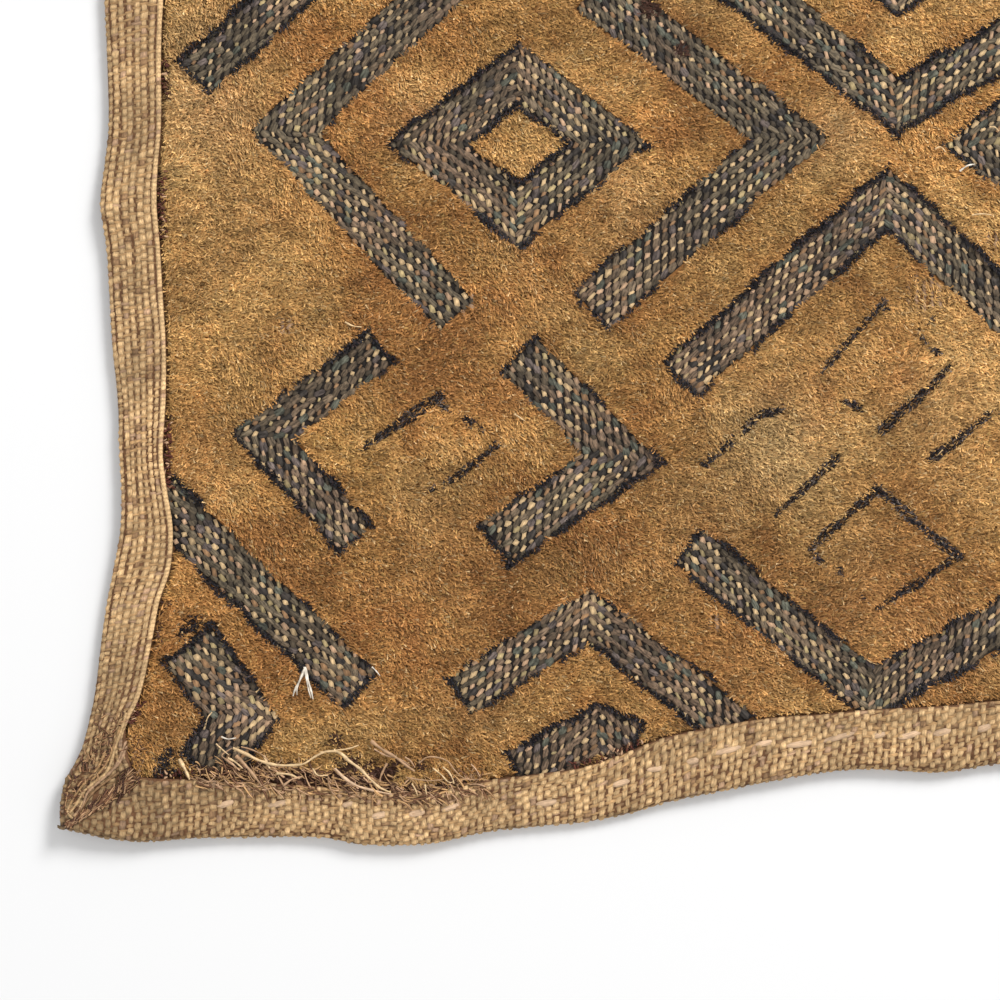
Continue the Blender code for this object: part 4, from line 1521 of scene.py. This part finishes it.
def pile_places(deep, ink, lines):
    """Where the tufts stand, which of them are black, which are darkened by matting and by painted shadow,
    which stand in a thin line, and how they lie there.
    """
    rng = np.random.default_rng(SEED + 71)
    step = 1 / math.sqrt(FINE_TUFTS)
    gx = np.arange(-246.0, 246.0, step)
    gy = np.arange(-268.0, 268.0, step)
    x, y = np.meshgrid(gx, gy)
    x = (x + step * (rng.random(x.shape) - 0.5) * 1.6).ravel()
    y = (y + step * (rng.random(y.shape) - 0.5) * 1.6).ravel()
    share = PLAIN_TUFTS / FINE_TUFTS + (1 - PLAIN_TUFTS / FINE_TUFTS) * fineness(x, y)
    kept = rng.random(len(x)) < share
    x, y = x[kept], y[kept]
    clear = inside_hem(x, y)
    kept = clear > 0.3
    x, y, clear = x[kept], y[kept], clear[kept]
    # Painted shadow: the pile beside the frayed stretch and beside the overcast stitches is darkened.
    shadow = np.zeros(len(x), bool)
    for low, high, share in FRAYED:
        reach = share * (1.6 + 2.6 * (lattice_noise(x, y, 3.0, SEED + 77) - 0.35))
        shadow |= (x > low) & (x < high) & (y < -240.0) & (clear < reach)
    for name, low, high, _ in WHIPPED:
        place = y if name == "left" else x
        beside = x < -220.0 if name == "left" else y < -230.0
        reach = 0.5 + 1.1 * lattice_noise(x, y, 2.2, SEED + 79)
        shadow |= beside & (place > low) & (place < high) & (clear < reach) & (rng.random(len(x)) < 0.45)
    depth = read_map(deep, x, y)
    depth = depth + 0.8 * (lattice_noise(x, y, 1.5, SEED + 72) - 0.5)
    depth = depth + 0.9 * (lattice_noise(x, y, 5.0, SEED + 73) - 0.5)
    strength = read_map(ink, x, y)
    rows = 0.6 * lattice_noise(x, y, 9.0, SEED + 74) + 0.4 * lattice_noise(x, y, 3.0, SEED + 78)
    much = soft_step((strength * 1.15 - 0.2 - rows) / 0.4 + 0.5)
    black = (depth > -0.05 - 0.35 * much) & (depth < 0.9 * much) & (much > 0.25)
    near, line_turn, filled = (read_map(values, x, y) for values in lines)
    near = near + 0.5 * (lattice_noise(x, y, 1.3, SEED + 75) - 0.5)
    near = near + 0.7 * (lattice_noise(x, y, 5.0, SEED + 70) - 0.5) + 0.05
    thin = (near > 0) & (lattice_noise(x, y, 2.2, SEED + 76) < filled * 1.2 - 0.1)
    thin &= rng.random(len(x)) < 0.9
    black |= thin | thinned(x, y, BLACKED, rng)
    matted = thinned(x, y, MATTED_AND_SHADOW_SPOTS, rng) | shadow
    worn = thinned(x, y, WORN, rng) & ~black
    kept = ((depth < 0.1) | black | matted) & ~worn
    line_turn = np.where(np.cos(line_turn) < 0, line_turn + math.pi, line_turn)
    line_turn = np.where(thin, line_turn, NO_LINE)
    return x[kept], y[kept], black[kept], matted[kept], depth[kept], line_turn[kept]


# How the pile's blades lie, how far from upright in degrees, how long they are, and how wide at each end
PILE_WAY = math.radians(-17.0)
PILE_TILT = 64.0
BLACK_LONG, FINE_LONG, PLAIN_LONG = 1.35, 1.7, 2.25
TIP_WIDE, ROOT_WIDE = 0.28, 0.32


def pile_blades(x, y, black, line_turn, fine, rng):
    """A thin triangle for each strand of a tuft: narrow at the root and blunt at the cut tip, or reversed."""
    count = len(x)
    swirl = lattice_noise(x, y, 17.0, SEED + 81) - 0.5
    local = lattice_noise(x, y, 4.0, SEED + 82) - 0.5
    way = PILE_WAY + swirl * 1.4 + local * 1.0 + rng.normal(0.0, 0.52, count)
    way = np.where(black, way - 0.5, way)
    way = np.where(line_turn < NO_LINE, line_turn + rng.normal(0.15, 0.3, count), way)
    flip = rng.random(count) < 0.12
    way = np.where(flip, way + math.pi * (rng.random(count) + 0.5), way)
    tilt = np.radians(np.clip(rng.normal(PILE_TILT, 10.0, count), 30.0, 84.0))
    tilt = np.where(black, tilt - 0.25, tilt)
    long = np.where(black, BLACK_LONG, np.where(fine, FINE_LONG, PLAIN_LONG))
    long = long * (0.7 + 0.6 * rng.random(count))
    rise, run = np.cos(tilt) * long, np.sin(tilt) * long
    root_z = PILE_ROOT + 0.45 * rng.random(count) ** 2 + waver(x, y) + face_rise(x, y)
    tip_z = np.minimum(root_z + rise, PILE_TOP + 0.3 + face_rise(x, y))
    blunt = rng.random(count) < 0.5
    half = 0.5 * np.where(blunt, TIP_WIDE, ROOT_WIDE) * (0.7 + 0.6 * rng.random(count))
    half = half * np.where(fine, 1.0, 1.7)
    roll = rng.normal(0.0, 0.34, count)
    dx, dy = np.cos(way), np.sin(way)
    side = np.stack((-dy * np.cos(roll), dx * np.cos(roll), np.sin(roll)), -1)
    tip = np.stack((x + dx * run * 0.55, y + dy * run * 0.55, tip_z), -1)
    root = np.stack((x - dx * run * 0.45, y - dy * run * 0.45, root_z), -1)
    span = side * half[:, None]
    wide_end = np.where(blunt[:, None], tip, root)
    thin_end = np.where(blunt[:, None], root, tip)
    return np.stack((wide_end - span, wide_end + span, thin_end), 1), blunt


def pile_pieces(deep, ink, lines, material):
    """The whole pile, in pieces of under 200,000 triangles."""
    rng = np.random.default_rng(SEED + 91)
    x, y, black, matted, depth, line_turn = pile_places(deep, ink, lines)
    near = fineness(x, y)
    blades, blunt = pile_blades(x, y, black, line_turn, near > 0.3, rng)
    tone = pile_tone(x, y, depth, rng)
    pick = rng.random(len(x))
    dyed = np.where((pick < 0.5)[:, None], INK["black"], INK["navy"])
    dyed = np.where((pick > 0.88)[:, None], INK["plum"], dyed)
    greyed = (line_turn < NO_LINE) & (pick > 0.3) & (pick < 0.54)
    dyed = np.where(greyed[:, None], INK["grey"], dyed) * (0.7 + 0.7 * rng.random(len(x)))[:, None]
    tone = np.where(black[:, None], dyed, tone)
    # Dark matting and painted shadow both take the shadow colour.
    tone = np.where(matted[:, None], INK["shadow"] * (0.5 + 0.8 * rng.random(len(x)))[:, None], tone)
    # Painted shade at each blade's root and painted light at its tip.
    shade = np.where(blunt[:, None], (1.08, 1.08, 0.62), (0.66, 0.66, 1.14))
    colours = tone[:, None, :] * shade[..., None]
    fine = near > 0.45
    parts = (
        ("pile_corner_west", fine & (x < -158.0)),
        ("pile_corner_east", fine & (x >= -158.0)),
        ("pile_north_west", ~fine & (x < -90.0)),
        ("pile_middle", ~fine & (x >= -90.0) & (x < 90.0)),
        ("pile_east", ~fine & (x >= 90.0)),
    )
    made = []
    for name, kept in parts:
        chosen = blades[kept]
        points = to_frame(chosen[..., 0], chosen[..., 1], chosen[..., 2]).reshape(-1, 3)
        where = np.arange(len(chosen) * 3).reshape(-1, 3)
        made.append(make_piece(name, points, where, colours[kept].reshape(-1, 3), material, smooth=False))
    return made


# Loose and sewn strands


# The hem's height where the cloth under a strand isn't found
HEM_TOP = 2.4
FRAY_TOP = 3.0
WHIP_TOP = 2.6


def strand_tubes(paths, widths, colours, tips, material, name, sides=3, flat=0.6):
    """Thin bent strands as narrow tubes: each path is an (n, 3) array of millimetres."""
    points, faces, tones, strands = [], [], [], []
    total = 0
    for path, width, colour, tip in zip(paths, widths, colours, tips):
        path = np.asarray(path, float)
        n = len(path)
        ahead = np.gradient(path, axis=0)
        ahead /= np.maximum(np.linalg.norm(ahead, axis=1, keepdims=True), 1e-6)
        side = np.cross(ahead, (0.0, 0.0, 1.0))
        side /= np.maximum(np.linalg.norm(side, axis=1, keepdims=True), 1e-6)
        up = np.cross(side, ahead)
        share = np.linspace(0, 1, n)
        half = 0.5 * width * (1 - (1 - tip) * share**1.5)
        for k in range(sides):
            turn = 2 * math.pi * k / sides + math.pi / 2
            out, rise = half * math.cos(turn), half * flat * math.sin(turn)
            points.append(path + side * out[:, None] + up * rise[:, None])
            # Painted light and shade: each tube's upper side is lighter and its underside darker.
            tones.append(np.broadcast_to(colour, (n, 3)) * (0.8 + 0.25 * math.sin(turn)))
            round_it = np.full(n, k / sides + total * 0.13)
            strands.append(np.stack((share * n * 0.6 + total * 0.01, round_it), -1))
            for m in range(n - 1):
                here, there = total + k * n + m, total + ((k + 1) % sides) * n + m
                faces.append((here, there, there + 1, here + 1))
        total += n * sides
    spots = np.concatenate(points)
    return make_piece(
        name,
        to_frame(spots[:, 0], spots[:, 1], spots[:, 2]),
        np.array(faces),
        np.concatenate(tones),
        material,
        np.concatenate(strands),
    )


# The photograph's scale, and where its thousandths have the plan's middle
PHOTO_STEP = 0.2
PHOTO_ZERO = (1355, -550)


def from_photo(x, y):
    """A place on the photograph, in its thousandths, as plan millimetres."""
    return (x - PHOTO_ZERO[0]) * PHOTO_STEP, (PHOTO_ZERO[1] - y) * PHOTO_STEP


def smooth_path(rows, steps):
    """A smooth path of this many steps through rows of x, y, z."""
    rows = np.asarray(rows, float)
    at = np.concatenate(([0.0], np.cumsum(np.linalg.norm(np.diff(rows[:, :2], axis=0), axis=1))))
    t = np.linspace(0, at[-1], steps)
    slope = np.gradient(rows, at, axis=0)
    i = np.clip(np.searchsorted(at, t, side="right") - 1, 0, len(rows) - 2)
    span = (at[i + 1] - at[i])[:, None]
    u = ((t - at[i]) / (at[i + 1] - at[i]))[:, None]
    a, b = 2 * u**3 - 3 * u**2 + 1, (u**3 - 2 * u**2 + u) * span
    c, d = 3 * u**2 - 2 * u**3, (u**3 - u**2) * span
    return a * rows[i] + b * slope[i] + c * rows[i + 1] + d * slope[i + 1]


# Strands that lie loose over the lower hem: x, y in the photograph's thousandths and height in millimetres
LOOSE = (
    # width, colour, path
    (0.62, "strand", ((233, 748, 2.7), (245, 753, 3.3), (257, 759, 3.5), (273, 764, 3.5), (290, 765, 3.5),
                      (305, 763, 3.6), (314, 757, 3.5), (324, 752, 3.6), (338, 751, 3.7))),
    (0.66, "strand", ((334, 750, 3.5), (341, 753, 3.7), (349, 760, 3.8), (360, 768, 3.9), (371, 779, 3.9),
                      (380, 787, 3.8), (391, 792, 3.6))),
    (0.62, "running", ((335, 768, 3.3), (344, 777, 3.7), (357, 785, 3.8), (374, 790, 3.8), (392, 794, 3.5))),
    (0.4, "strand", ((320, 752, 3.3), (336, 750, 3.5), (350, 748, 3.4), (359, 745, 2.9))),
    (0.7, "fray", ((371, 741, 2.7), (382, 749, 3.3), (396, 757, 3.6), (405, 764, 3.7), (415, 771, 3.5))),
    (0.4, "hem_pink", ((374, 749, 2.8), (386, 755, 3.3), (398, 758, 3.4), (410, 765, 3.2))),
    (0.34, "hem_pink", ((405, 757, 2.9), (410, 760, 3.3), (415, 767, 3.3))),
    (0.32, "fray", ((419, 763, 2.9), (427, 757, 3.3), (437, 757, 3.4), (448, 761, 3.5), (455, 770, 3.7),
                    (465, 778, 3.8), (480, 779, 3.7))),
    (0.34, "strand", ((433, 768, 3.0), (441, 774, 3.6), (451, 782, 3.8), (454, 781, 3.8))),
    (0.42, "strand", ((443, 767, 3.0), (449, 772, 3.5), (453, 779, 3.8), (454, 783, 3.7))),
    (0.3, "hem_pink", ((471, 764, 3.0), (476, 769, 3.5), (480, 776, 3.7))),
    (0.3, "fray", ((406, 777, 3.6), (418, 779, 3.8), (430, 780, 3.8), (444, 779, 3.8))),
    (0.5, "fray", ((387, 763, 3.2), (384, 769, 3.6), (381, 776, 3.7), (380, 781, 3.6))),
    (0.36, "strand", ((412, 783, 3.7), (416, 790, 3.8), (418, 796, 3.7))),
    (0.36, "strand", ((425, 784, 3.7), (426, 790, 3.8), (427, 797, 3.7))),
    (0.7, "strand", ((264, 756, 2.6), (267, 763, 3.3), (270, 768, 3.4))),
    (0.8, "strand", ((179, 759, 2.5), (183, 765, 3.1), (187, 772, 3.5), (190, 779, 3.5))),
    (0.5, "hem_pink", ((225, 759, 2.8), (233, 764, 3.3), (240, 770, 3.6))),
    (0.45, "strand", ((228, 758, 2.8), (236, 762, 3.4), (243, 768, 3.6))),
    (0.75, "fray", ((236, 756, 2.8), (244, 763, 3.5), (253, 773, 3.9), (262, 785, 3.8))),
    (0.34, "strand", ((216, 744, 2.4), (223, 750, 2.9), (229, 755, 2.8))),
    (0.34, "fray", ((241, 747, 2.4), (250, 749, 2.9), (261, 754, 2.9), (270, 761, 3.1))),
    (0.34, "fray", ((230, 761, 2.9), (222, 756, 3.0), (232, 748, 2.6))),
    (0.36, "strand", ((313, 768, 3.4), (317, 774, 3.8), (328, 775, 3.8))),
    (0.5, "strand", ((277, 773, 3.5), (290, 774, 3.8), (300, 778, 3.8))),
    (0.5, "hem_pink", ((284, 785, 3.7), (292, 779, 3.8), (303, 776, 3.8))),
    (0.55, "white", ((305, 668, 2.6), (299, 682, 3.1), (295, 690, 3.0), (293, 696, 2.8))),
    (0.36, "white", ((305, 668, 2.6), (300, 680, 3.2), (297, 690, 3.0), (297, 695, 2.8))),
    (0.55, "white", ((305, 667, 2.6), (308, 680, 3.1), (311, 690, 3.0), (313, 699, 2.8))),
    (0.34, "white", ((304, 667, 2.6), (307, 681, 3.2), (309, 691, 3.1), (311, 698, 2.8))),
    (0.4, "white", ((960, 171, 2.5), (967, 166, 3.0), (975, 164, 2.7))),
    (0.35, "strand", ((990, 127, 2.3), (994, 127, 2.8), (999, 131, 2.5))),
    (0.35, "strand", ((972, 215, 2.6), (982, 214, 3.0), (992, 215, 2.6))),
    (0.35, "strand", ((935, 149, 2.6), (940, 147, 2.9), (946, 152, 2.6))),
    (0.3, "white", ((221, 737, 2.3), (228, 739, 2.7), (236, 738, 2.4))),
    (0.35, "strand", ((205, 725, 2.2), (208, 717, 2.6), (212, 712, 2.4))),
    (0.35, "strand", ((514, 414, 2.6), (519, 417, 2.9), (525, 421, 2.6))),
    (0.3, "white", ((372, 667, 2.4), (377, 672, 2.7), (380, 676, 2.4))),
    (0.35, "strand", ((345, 322, 2.6), (353, 326, 2.9), (362, 327, 2.6))),
    (0.35, "strand", ((1010, 300, 2.6), (1018, 297, 2.9), (1026, 300, 2.6))),
)

# Yarns that the left hem's strands gather into, down to the panel's lower left tip
CORDS = (
    # width, colour, path
    (0.72, "hem", ((127, 712), (123, 727), (116, 747), (112, 761), (107, 772), (95, 782), (85, 791),
                   (77, 804), (71, 812))),
    (0.6, "hem_pink", ((131, 716), (129, 731), (124, 748), (118, 762), (110, 774))),
    (0.6, "hem_dim", ((121, 726), (115, 744), (109, 759), (102, 770), (92, 780))),
    (0.7, "hem_pink", ((128, 741), (122, 759), (113, 770), (99, 782), (88, 793), (84, 805), (75, 815))),
    (0.6, "hem_dark", ((120, 772), (106, 782), (96, 790), (87, 801), (79, 814))),
    (0.6, "hem_dim", ((106, 752), (98, 768), (86, 782), (76, 795), (70, 806))),
    (0.6, "hem", ((71, 804), (69, 811), (74, 817), (80, 809), (84, 800))),
)

# Running stitches along the lower hem, in the photograph's thousandths
RUNNING = (
    # from x, to x, middle y
    (217, 234, 804), (267, 288, 804), (342, 354, 804), (371, 388, 815), (408, 425, 813), (441, 462, 807),
    (536, 558, 803), (612, 630, 783), (647, 664, 769), (686, 699, 761), (713, 743, 750), (755, 774, 743),
    (786, 813, 744), (821, 856, 737), (872, 886, 735), (898, 921, 735), (933, 951, 732), (976, 992, 728),
)

# How many torn ends lie along the lower hem's frayed stretch, and along the corner's mitre
FRAYS = 560
SEAM_FRAYS = 420
CORNER_FRAYS = 170

# Dark overcast stitches on hems' inner edges: side, from, to, how many
WHIPPED = (
    ("left", -130.0, -122.0, 9),
    ("left", -158.0, -144.0, 20),
    ("left", -208.0, -193.0, 26),
    ("left", -254.5, -250.5, 10),
    ("bottom", -240.0, -232.0, 6),
    ("bottom", -157.0, -141.0, 16),
)


def loose_strands(material, ground):
    """Loose strands and pale fibres over the pile and the lower hem, and the corner's thick yarns."""
    paths, widths, colours, tips = [], [], [], []
    for width, colour, rows in LOOSE:
        spots = [(*from_photo(x, y), z) for x, y, z in rows]
        along = np.arange(4 * len(rows)) + rows[0][0]
        paths.append(smooth_path(spots, 4 * len(rows)))
        widths.append(width * (1.06 + 0.22 * np.sin(along * 0.8) + 0.12 * np.sin(along * 2.3)))
        colours.append(INK[colour] * (0.9 + 0.12 * np.sin(along * 1.1))[:, None])
        tips.append(0.5)
    for width, colour, rows in CORDS:
        spots = np.array([(*from_photo(x, y), 0.0) for x, y in rows])
        steps = 12 * len(rows)
        path = smooth_path(spots, steps)
        for spot in path:
            spot[2] = cloth_height(ground, spot[0], spot[1], HEM_TOP) + 0.3
        along = np.arange(steps)
        paths.append(path)
        widths.append(width * (1 + 0.08 * np.sin(along * 1.7) + 0.14 * np.sin(along * 0.6 + width * 9)))
        colours.append(INK[colour] * (0.64 + 0.1 * np.sin(along * 0.9 + width * 5))[:, None])
        tips.append(0.8)
    return [strand_tubes(paths, widths, colours, tips, material, "loose_strands", 5, 0.5)]


def one_of(names, rng):
    """One of some colours' names."""
    return names[int(rng.integers(len(names)))]


def torn_ends(rng, ground):
    """Torn yarn ends over the lower hem's frayed stretch."""
    bottom = SIDES["bottom"]
    names = ("fray", "fray_dark", "hem_dark", "hem_dim", "hem_pink", "hem_dim", "fray_dark")
    for _ in range(FRAYS):
        x = rng.uniform(FRAYED[0][0], FRAYED[-1][1] + 4)
        edge, wide, _ = bottom.at(np.array(x))
        y = float(edge + wide) + rng.uniform(-1.7, 3.4 if x < FRAYED[-1][0] else 1.6)
        way = math.radians(-26 + rng.normal(0, 30)) + (math.pi if rng.random() < 0.3 else 0.0)
        colour = one_of(names, rng)
        level = max(cloth_height(ground, x, y, FRAY_TOP) + rng.uniform(0.1, 0.5), 2.5)
        long, width, bow = rng.uniform(1.2, 3.4), rng.uniform(0.3, 0.7), rng.normal(0, 0.6)
        yield x, y, level, way, long, width, bow, colour, rng.uniform(-0.1, 0.25)


def mitre_ends(rng, ground):
    """Yarn ends that lie in the lower left mitre, and a little past its inner end."""
    tip, bend = np.array(CORNERS["lower_left"][:2]), np.array(CORNERS["lower_left"][2:4])
    seam = bend + np.array((1.4, 7.6)) - tip
    names = ("fray_dark", "fray_dark", "shadow", "fray", "hem_dark")
    for _ in range(SEAM_FRAYS):
        share = rng.uniform(0.06, 1.0)
        centre = tip + (bend - tip) * min(share * 1.25, 1.0) + np.array((0.2, 7.6)) * max(share - 0.8, 0) * 5
        x, y = centre + np.array((0.5, -0.2)) + rng.normal(0, 0.25 + 0.55 * share, 2)
        long = rng.uniform(1.4, 3.4) * (0.5 + 0.5 * share)
        way = math.atan2(seam[1], seam[0]) + rng.normal(0, 0.26)
        colour = one_of(names, rng)
        level = cloth_height(ground, x, y, FRAY_TOP) + rng.uniform(0.25, 0.6)
        x, y = x - long / 2 * math.cos(way), y - long / 2 * math.sin(way)
        width, bow = rng.uniform(0.34, 0.66), rng.normal(0, 0.4)
        yield x, y, level, way, long, width, bow, colour, rng.uniform(-0.1, 0.2)


def corner_ends(rng, ground):
    """Short ends over the hem at the lower left corner."""
    names = ("fray_dark", "hem_dark", "shadow", "fray_dark", "hem_dark")
    for _ in range(CORNER_FRAYS):
        share = rng.uniform(0.0, 1.0)
        x, y = from_photo(66 + 52 * share + rng.normal(0, 7), 812 - 92 * share + rng.normal(0, 9))
        level = cloth_height(ground, x, y, None)
        if level is None or inside_hem(np.array(x), np.array(y)) > -UNDER_HEM:
            continue
        way = math.radians(60 + rng.normal(0, 45))
        colour = one_of(names, rng)
        level += rng.uniform(0.2, 0.36)
        long, width, bow = rng.uniform(0.7, 1.5), rng.uniform(0.4, 0.7), rng.normal(0, 0.3)
        yield x, y, level, way, long, width, bow, colour, 0.08


def whip_stitches(rng):
    """Short overcast stitches on the hems' inner edges."""
    names = ("whip", "fray_dark", "hem_pink", "whip", "whip")
    for name, low, high, count in WHIPPED:
        side = SIDES[name]
        for _ in range(count * 2):
            place = rng.uniform(low, high)
            inward = side.at(np.array(place))[1] + rng.uniform(-0.5, 1.1)
            x, y, level = (float(c) for c in side.point(np.array(place), inward, np.array(WHIP_TOP)))
            way = (0.0 if side.upright else math.pi / 2) + rng.normal(0, 0.5)
            colour = one_of(names, rng)
            level += rng.uniform(-0.2, 0.35)
            long, width, bow = rng.uniform(0.5, 1.1), rng.uniform(0.45, 0.8), rng.normal(0, 0.4)
            yield x, y, level, way, long, width, bow, colour, 0.2


def frayed_ends(material, ground):
    """Short torn yarn ends: on the lower hem's frayed stretch, in the mitre and along the overcast edges."""
    rng = np.random.default_rng(SEED + 102)
    paths, widths, colours, tips = [], [], [], []
    t = np.linspace(0, 1, 5)
    ends = chain(torn_ends(rng, ground), mitre_ends(rng, ground), corner_ends(rng, ground), whip_stitches(rng))
    for x, y, level, way, long, width, bow, colour, high in ends:
        turn = way + bow * t[:-1]
        dx = np.concatenate(([0.0], np.cumsum(np.cos(turn) * long / 4)))
        dy = np.concatenate(([0.0], np.cumsum(np.sin(turn) * long / 4)))
        paths.append(np.stack((x + dx, y + dy, level + high * np.sin(t * math.pi * 0.8)), -1))
        widths.append(width)
        colours.append(INK[colour] * (0.75 + 0.5 * rng.random()))
        tips.append(0.35)
    return strand_tubes(paths, widths, colours, tips, material, "frayed_ends", 3, 0.7)


def running_stitches(material, ground):
    """The flat pale stitches that hold the lower hem down, and the same beyond the photograph."""
    rng = np.random.default_rng(SEED + 103)
    spots = []
    for low, high, y in RUNNING:
        x0, y0 = from_photo(low, y)
        x1, _ = from_photo(high, y)
        spots.append(((x0 + x1) / 2, y0, (x1 - x0) / 2, math.radians(rng.uniform(8, 20))))
    for name, side in SIDES.items():
        places = np.arange(side.place[0] + 16, side.place[-1] - 14, 6.6)
        for place in places + rng.uniform(-1.2, 1.2, len(places)):
            _, wide, _ = side.at(np.array(place))
            x, y, _ = side.point(np.array(place), wide - 3.2 + rng.uniform(-0.5, 0.5), np.array(3.0))
            if fineness(np.array(x), np.array(y)) > 0.98 or name == "left":
                continue
            lean = (math.pi / 2 if side.upright else 0.0) + rng.uniform(0.1, 0.3)
            spots.append((float(x), float(y), rng.uniform(1.4, 2.3), lean))
    u, v = np.meshgrid(np.linspace(-1, 1, 6), (-1.0, -0.3, 0.4, 1.0))
    u, v = u.ravel(), v.ravel()
    corner = np.array([r * 6 + c for r in range(3) for c in range(5)])
    faces = np.stack((corner, corner + 1, corner + 7, corner + 6), -1)
    points, colours, strands, where = [], [], [], []
    for n, (x, y, half, lean) in enumerate(spots):
        wide = 0.64 * rng.uniform(0.8, 1.1) * (1 - 0.45 * np.abs(u) ** 3)
        px = x + u * half * math.cos(lean) - v * wide * math.sin(lean)
        py = y + u * half * math.sin(lean) + v * wide * math.cos(lean)
        pz = np.array([cloth_height(ground, a, b, HEM_TOP) for a, b in zip(px, py)])
        pz = pz.mean() * 0.6 + pz * 0.4 + 0.38 - 0.3 * np.abs(u) ** 4 - 0.16 * v**2
        points.append(to_frame(px, py, pz))
        tone = INK["running"] * rng.uniform(0.8, 1.05)
        # Painted shade: each stitch is darker towards its edges and ends, where it curves down.
        colours.append(tone * (1 - 0.3 * np.abs(v) ** 2 - 0.2 * np.abs(u) ** 3)[:, None])
        strands.append(np.stack((u * 1.2 + n * 1.7, v * 0.7 + n * 0.9), -1))
        where.append(faces + n * len(u))
    return make_piece(
        "running_stitches",
        np.concatenate(points),
        np.concatenate(where),
        np.concatenate(colours),
        material,
        np.concatenate(strands),
    )


# The camera, lights and floor


# The floor's half side in metres and its grey, and the light of the sky
FLOOR_HALF = 3
FLOOR_GREY = 0.82
SKY = 0.62
LIGHTS = (
    # name, power, size, place
    ("key", 30.0, 0.6, (0.75, 0.95, 1.0)),
    ("fill", 5.0, 1.2, (-1.1, -0.9, 1.2)),
)
LENS = 100.0
SENSOR = 36.0
PHOTO_HALF = (PHOTO_RIGHT - PHOTO_LEFT) / 2 * MM


def stage():
    """Pale floor, soft lights and the camera straight above the photographed corner."""
    mesh = bpy.data.meshes.new("floor")
    corners = [(x * FLOOR_HALF, y * FLOOR_HALF, 0) for x, y in ((-1, -1), (1, -1), (1, 1), (-1, 1))]
    mesh.from_pydata(corners, [], [(0, 1, 2, 3)])
    floor = bpy.data.objects.new("floor", mesh)
    bpy.context.scene.collection.objects.link(floor)
    material, _, shader = new_material("floor_paper", 0.9)
    shader.inputs["Base Color"].default_value = (FLOOR_GREY, FLOOR_GREY, FLOOR_GREY, 1.0)
    mesh.materials.append(material)
    world = bpy.context.scene.world or bpy.data.worlds.new("world")
    bpy.context.scene.world = world
    world.use_nodes = True
    background = world.node_tree.nodes["Background"]
    background.inputs["Color"].default_value = (1.0, 1.0, 1.0, 1.0)
    background.inputs["Strength"].default_value = SKY
    middle_x = ((PHOTO_LEFT + PHOTO_RIGHT) / 2 - PLAN_MIDDLE[0]) * MM
    middle_y = ((PHOTO_BOTTOM + PHOTO_TOP) / 2 - PLAN_MIDDLE[1]) * MM
    for name, energy, size, place in LIGHTS:
        light = bpy.data.lights.new(name, "AREA")
        light.energy = energy
        light.size = size
        lamp = bpy.data.objects.new(name, light)
        lamp.location = place
        aim = Vector((0, 0, 0)) - Vector(place)
        lamp.rotation_euler = aim.to_track_quat("-Z", "Y").to_euler()
        bpy.context.scene.collection.objects.link(lamp)
    view = bpy.data.cameras.new("camera")
    view.lens = LENS
    view.sensor_width = SENSOR
    view.clip_start = 0.01
    camera = bpy.data.objects.new("camera", view)
    high = PHOTO_HALF / (SENSOR / 2 / LENS)
    camera.location = (middle_x, middle_y, high + PILE_TOP * MM)
    bpy.context.scene.collection.objects.link(camera)
    bpy.context.scene.camera = camera
    bpy.context.scene.view_settings.view_transform = "Standard"


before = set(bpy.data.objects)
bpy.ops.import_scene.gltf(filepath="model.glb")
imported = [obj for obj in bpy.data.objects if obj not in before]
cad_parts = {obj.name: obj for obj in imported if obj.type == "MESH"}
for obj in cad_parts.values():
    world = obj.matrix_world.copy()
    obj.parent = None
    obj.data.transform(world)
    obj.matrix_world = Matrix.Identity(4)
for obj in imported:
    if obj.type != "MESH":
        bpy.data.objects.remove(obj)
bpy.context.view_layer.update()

stage()
bands, thin_lines = chart()
deep_map, turn_map, ink_map = band_maps(bands)
near_line = line_map(thin_lines)

# The depths' material carries the cloth's and the bands' painted shade tones.
base = mottled_material("raffia_depths_and_shade", 0.9, 1100.0, 4.0, (0.6, 1.3), 0.7, 0.0004)
weave = weave_material("raffia_underside")
hem_look = strand_material("raffia_hem", 0.64, 0.24, 0.8, (1.2, 4.2))
dark_look = strand_material("raffia_dyed", 0.68, 0.6, 1.0, (0.8, 3.2), 0.00014)
check_look = strand_material("raffia_checks", 0.6, 0.16, 0.6, (1.2, 5.0))
loose_look = strand_material("raffia_loose", 0.5, 0.22, 0.7, (0.8, 6.0))
pile_look = mottled_material("raffia_pile", 0.62, 2600.0, 2.0, (0.86, 1.14), 0.4, 0.0001, 0.12)

cloth, ground = cloth_mesh(base, weave)
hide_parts("hemmed_panel")
pieces = [
    hem_strands("fine", hem_look, "hem_strands_corner", ground),
    hem_strands("plain", hem_look, "hem_strands_beyond", ground),
    band_shade_beds(bands, base),
]
cells = band_cells(deep_map)
pieces += [
    band_stitches(cells, turn_map, "fine", dark_look, "band_stitches_corner"),
    band_stitches(cells, turn_map, "plain", dark_look, "band_stitches_beyond"),
    band_checks(cells, turn_map, "fine", check_look, "band_checks_corner"),
    band_checks(cells, turn_map, "plain", check_look, "band_checks_beyond"),
    running_stitches(loose_look, ground),
    frayed_ends(loose_look, ground),
]
pieces += loose_strands(loose_look, ground)
pieces += pile_pieces(deep_map, ink_map, near_line, pile_look)
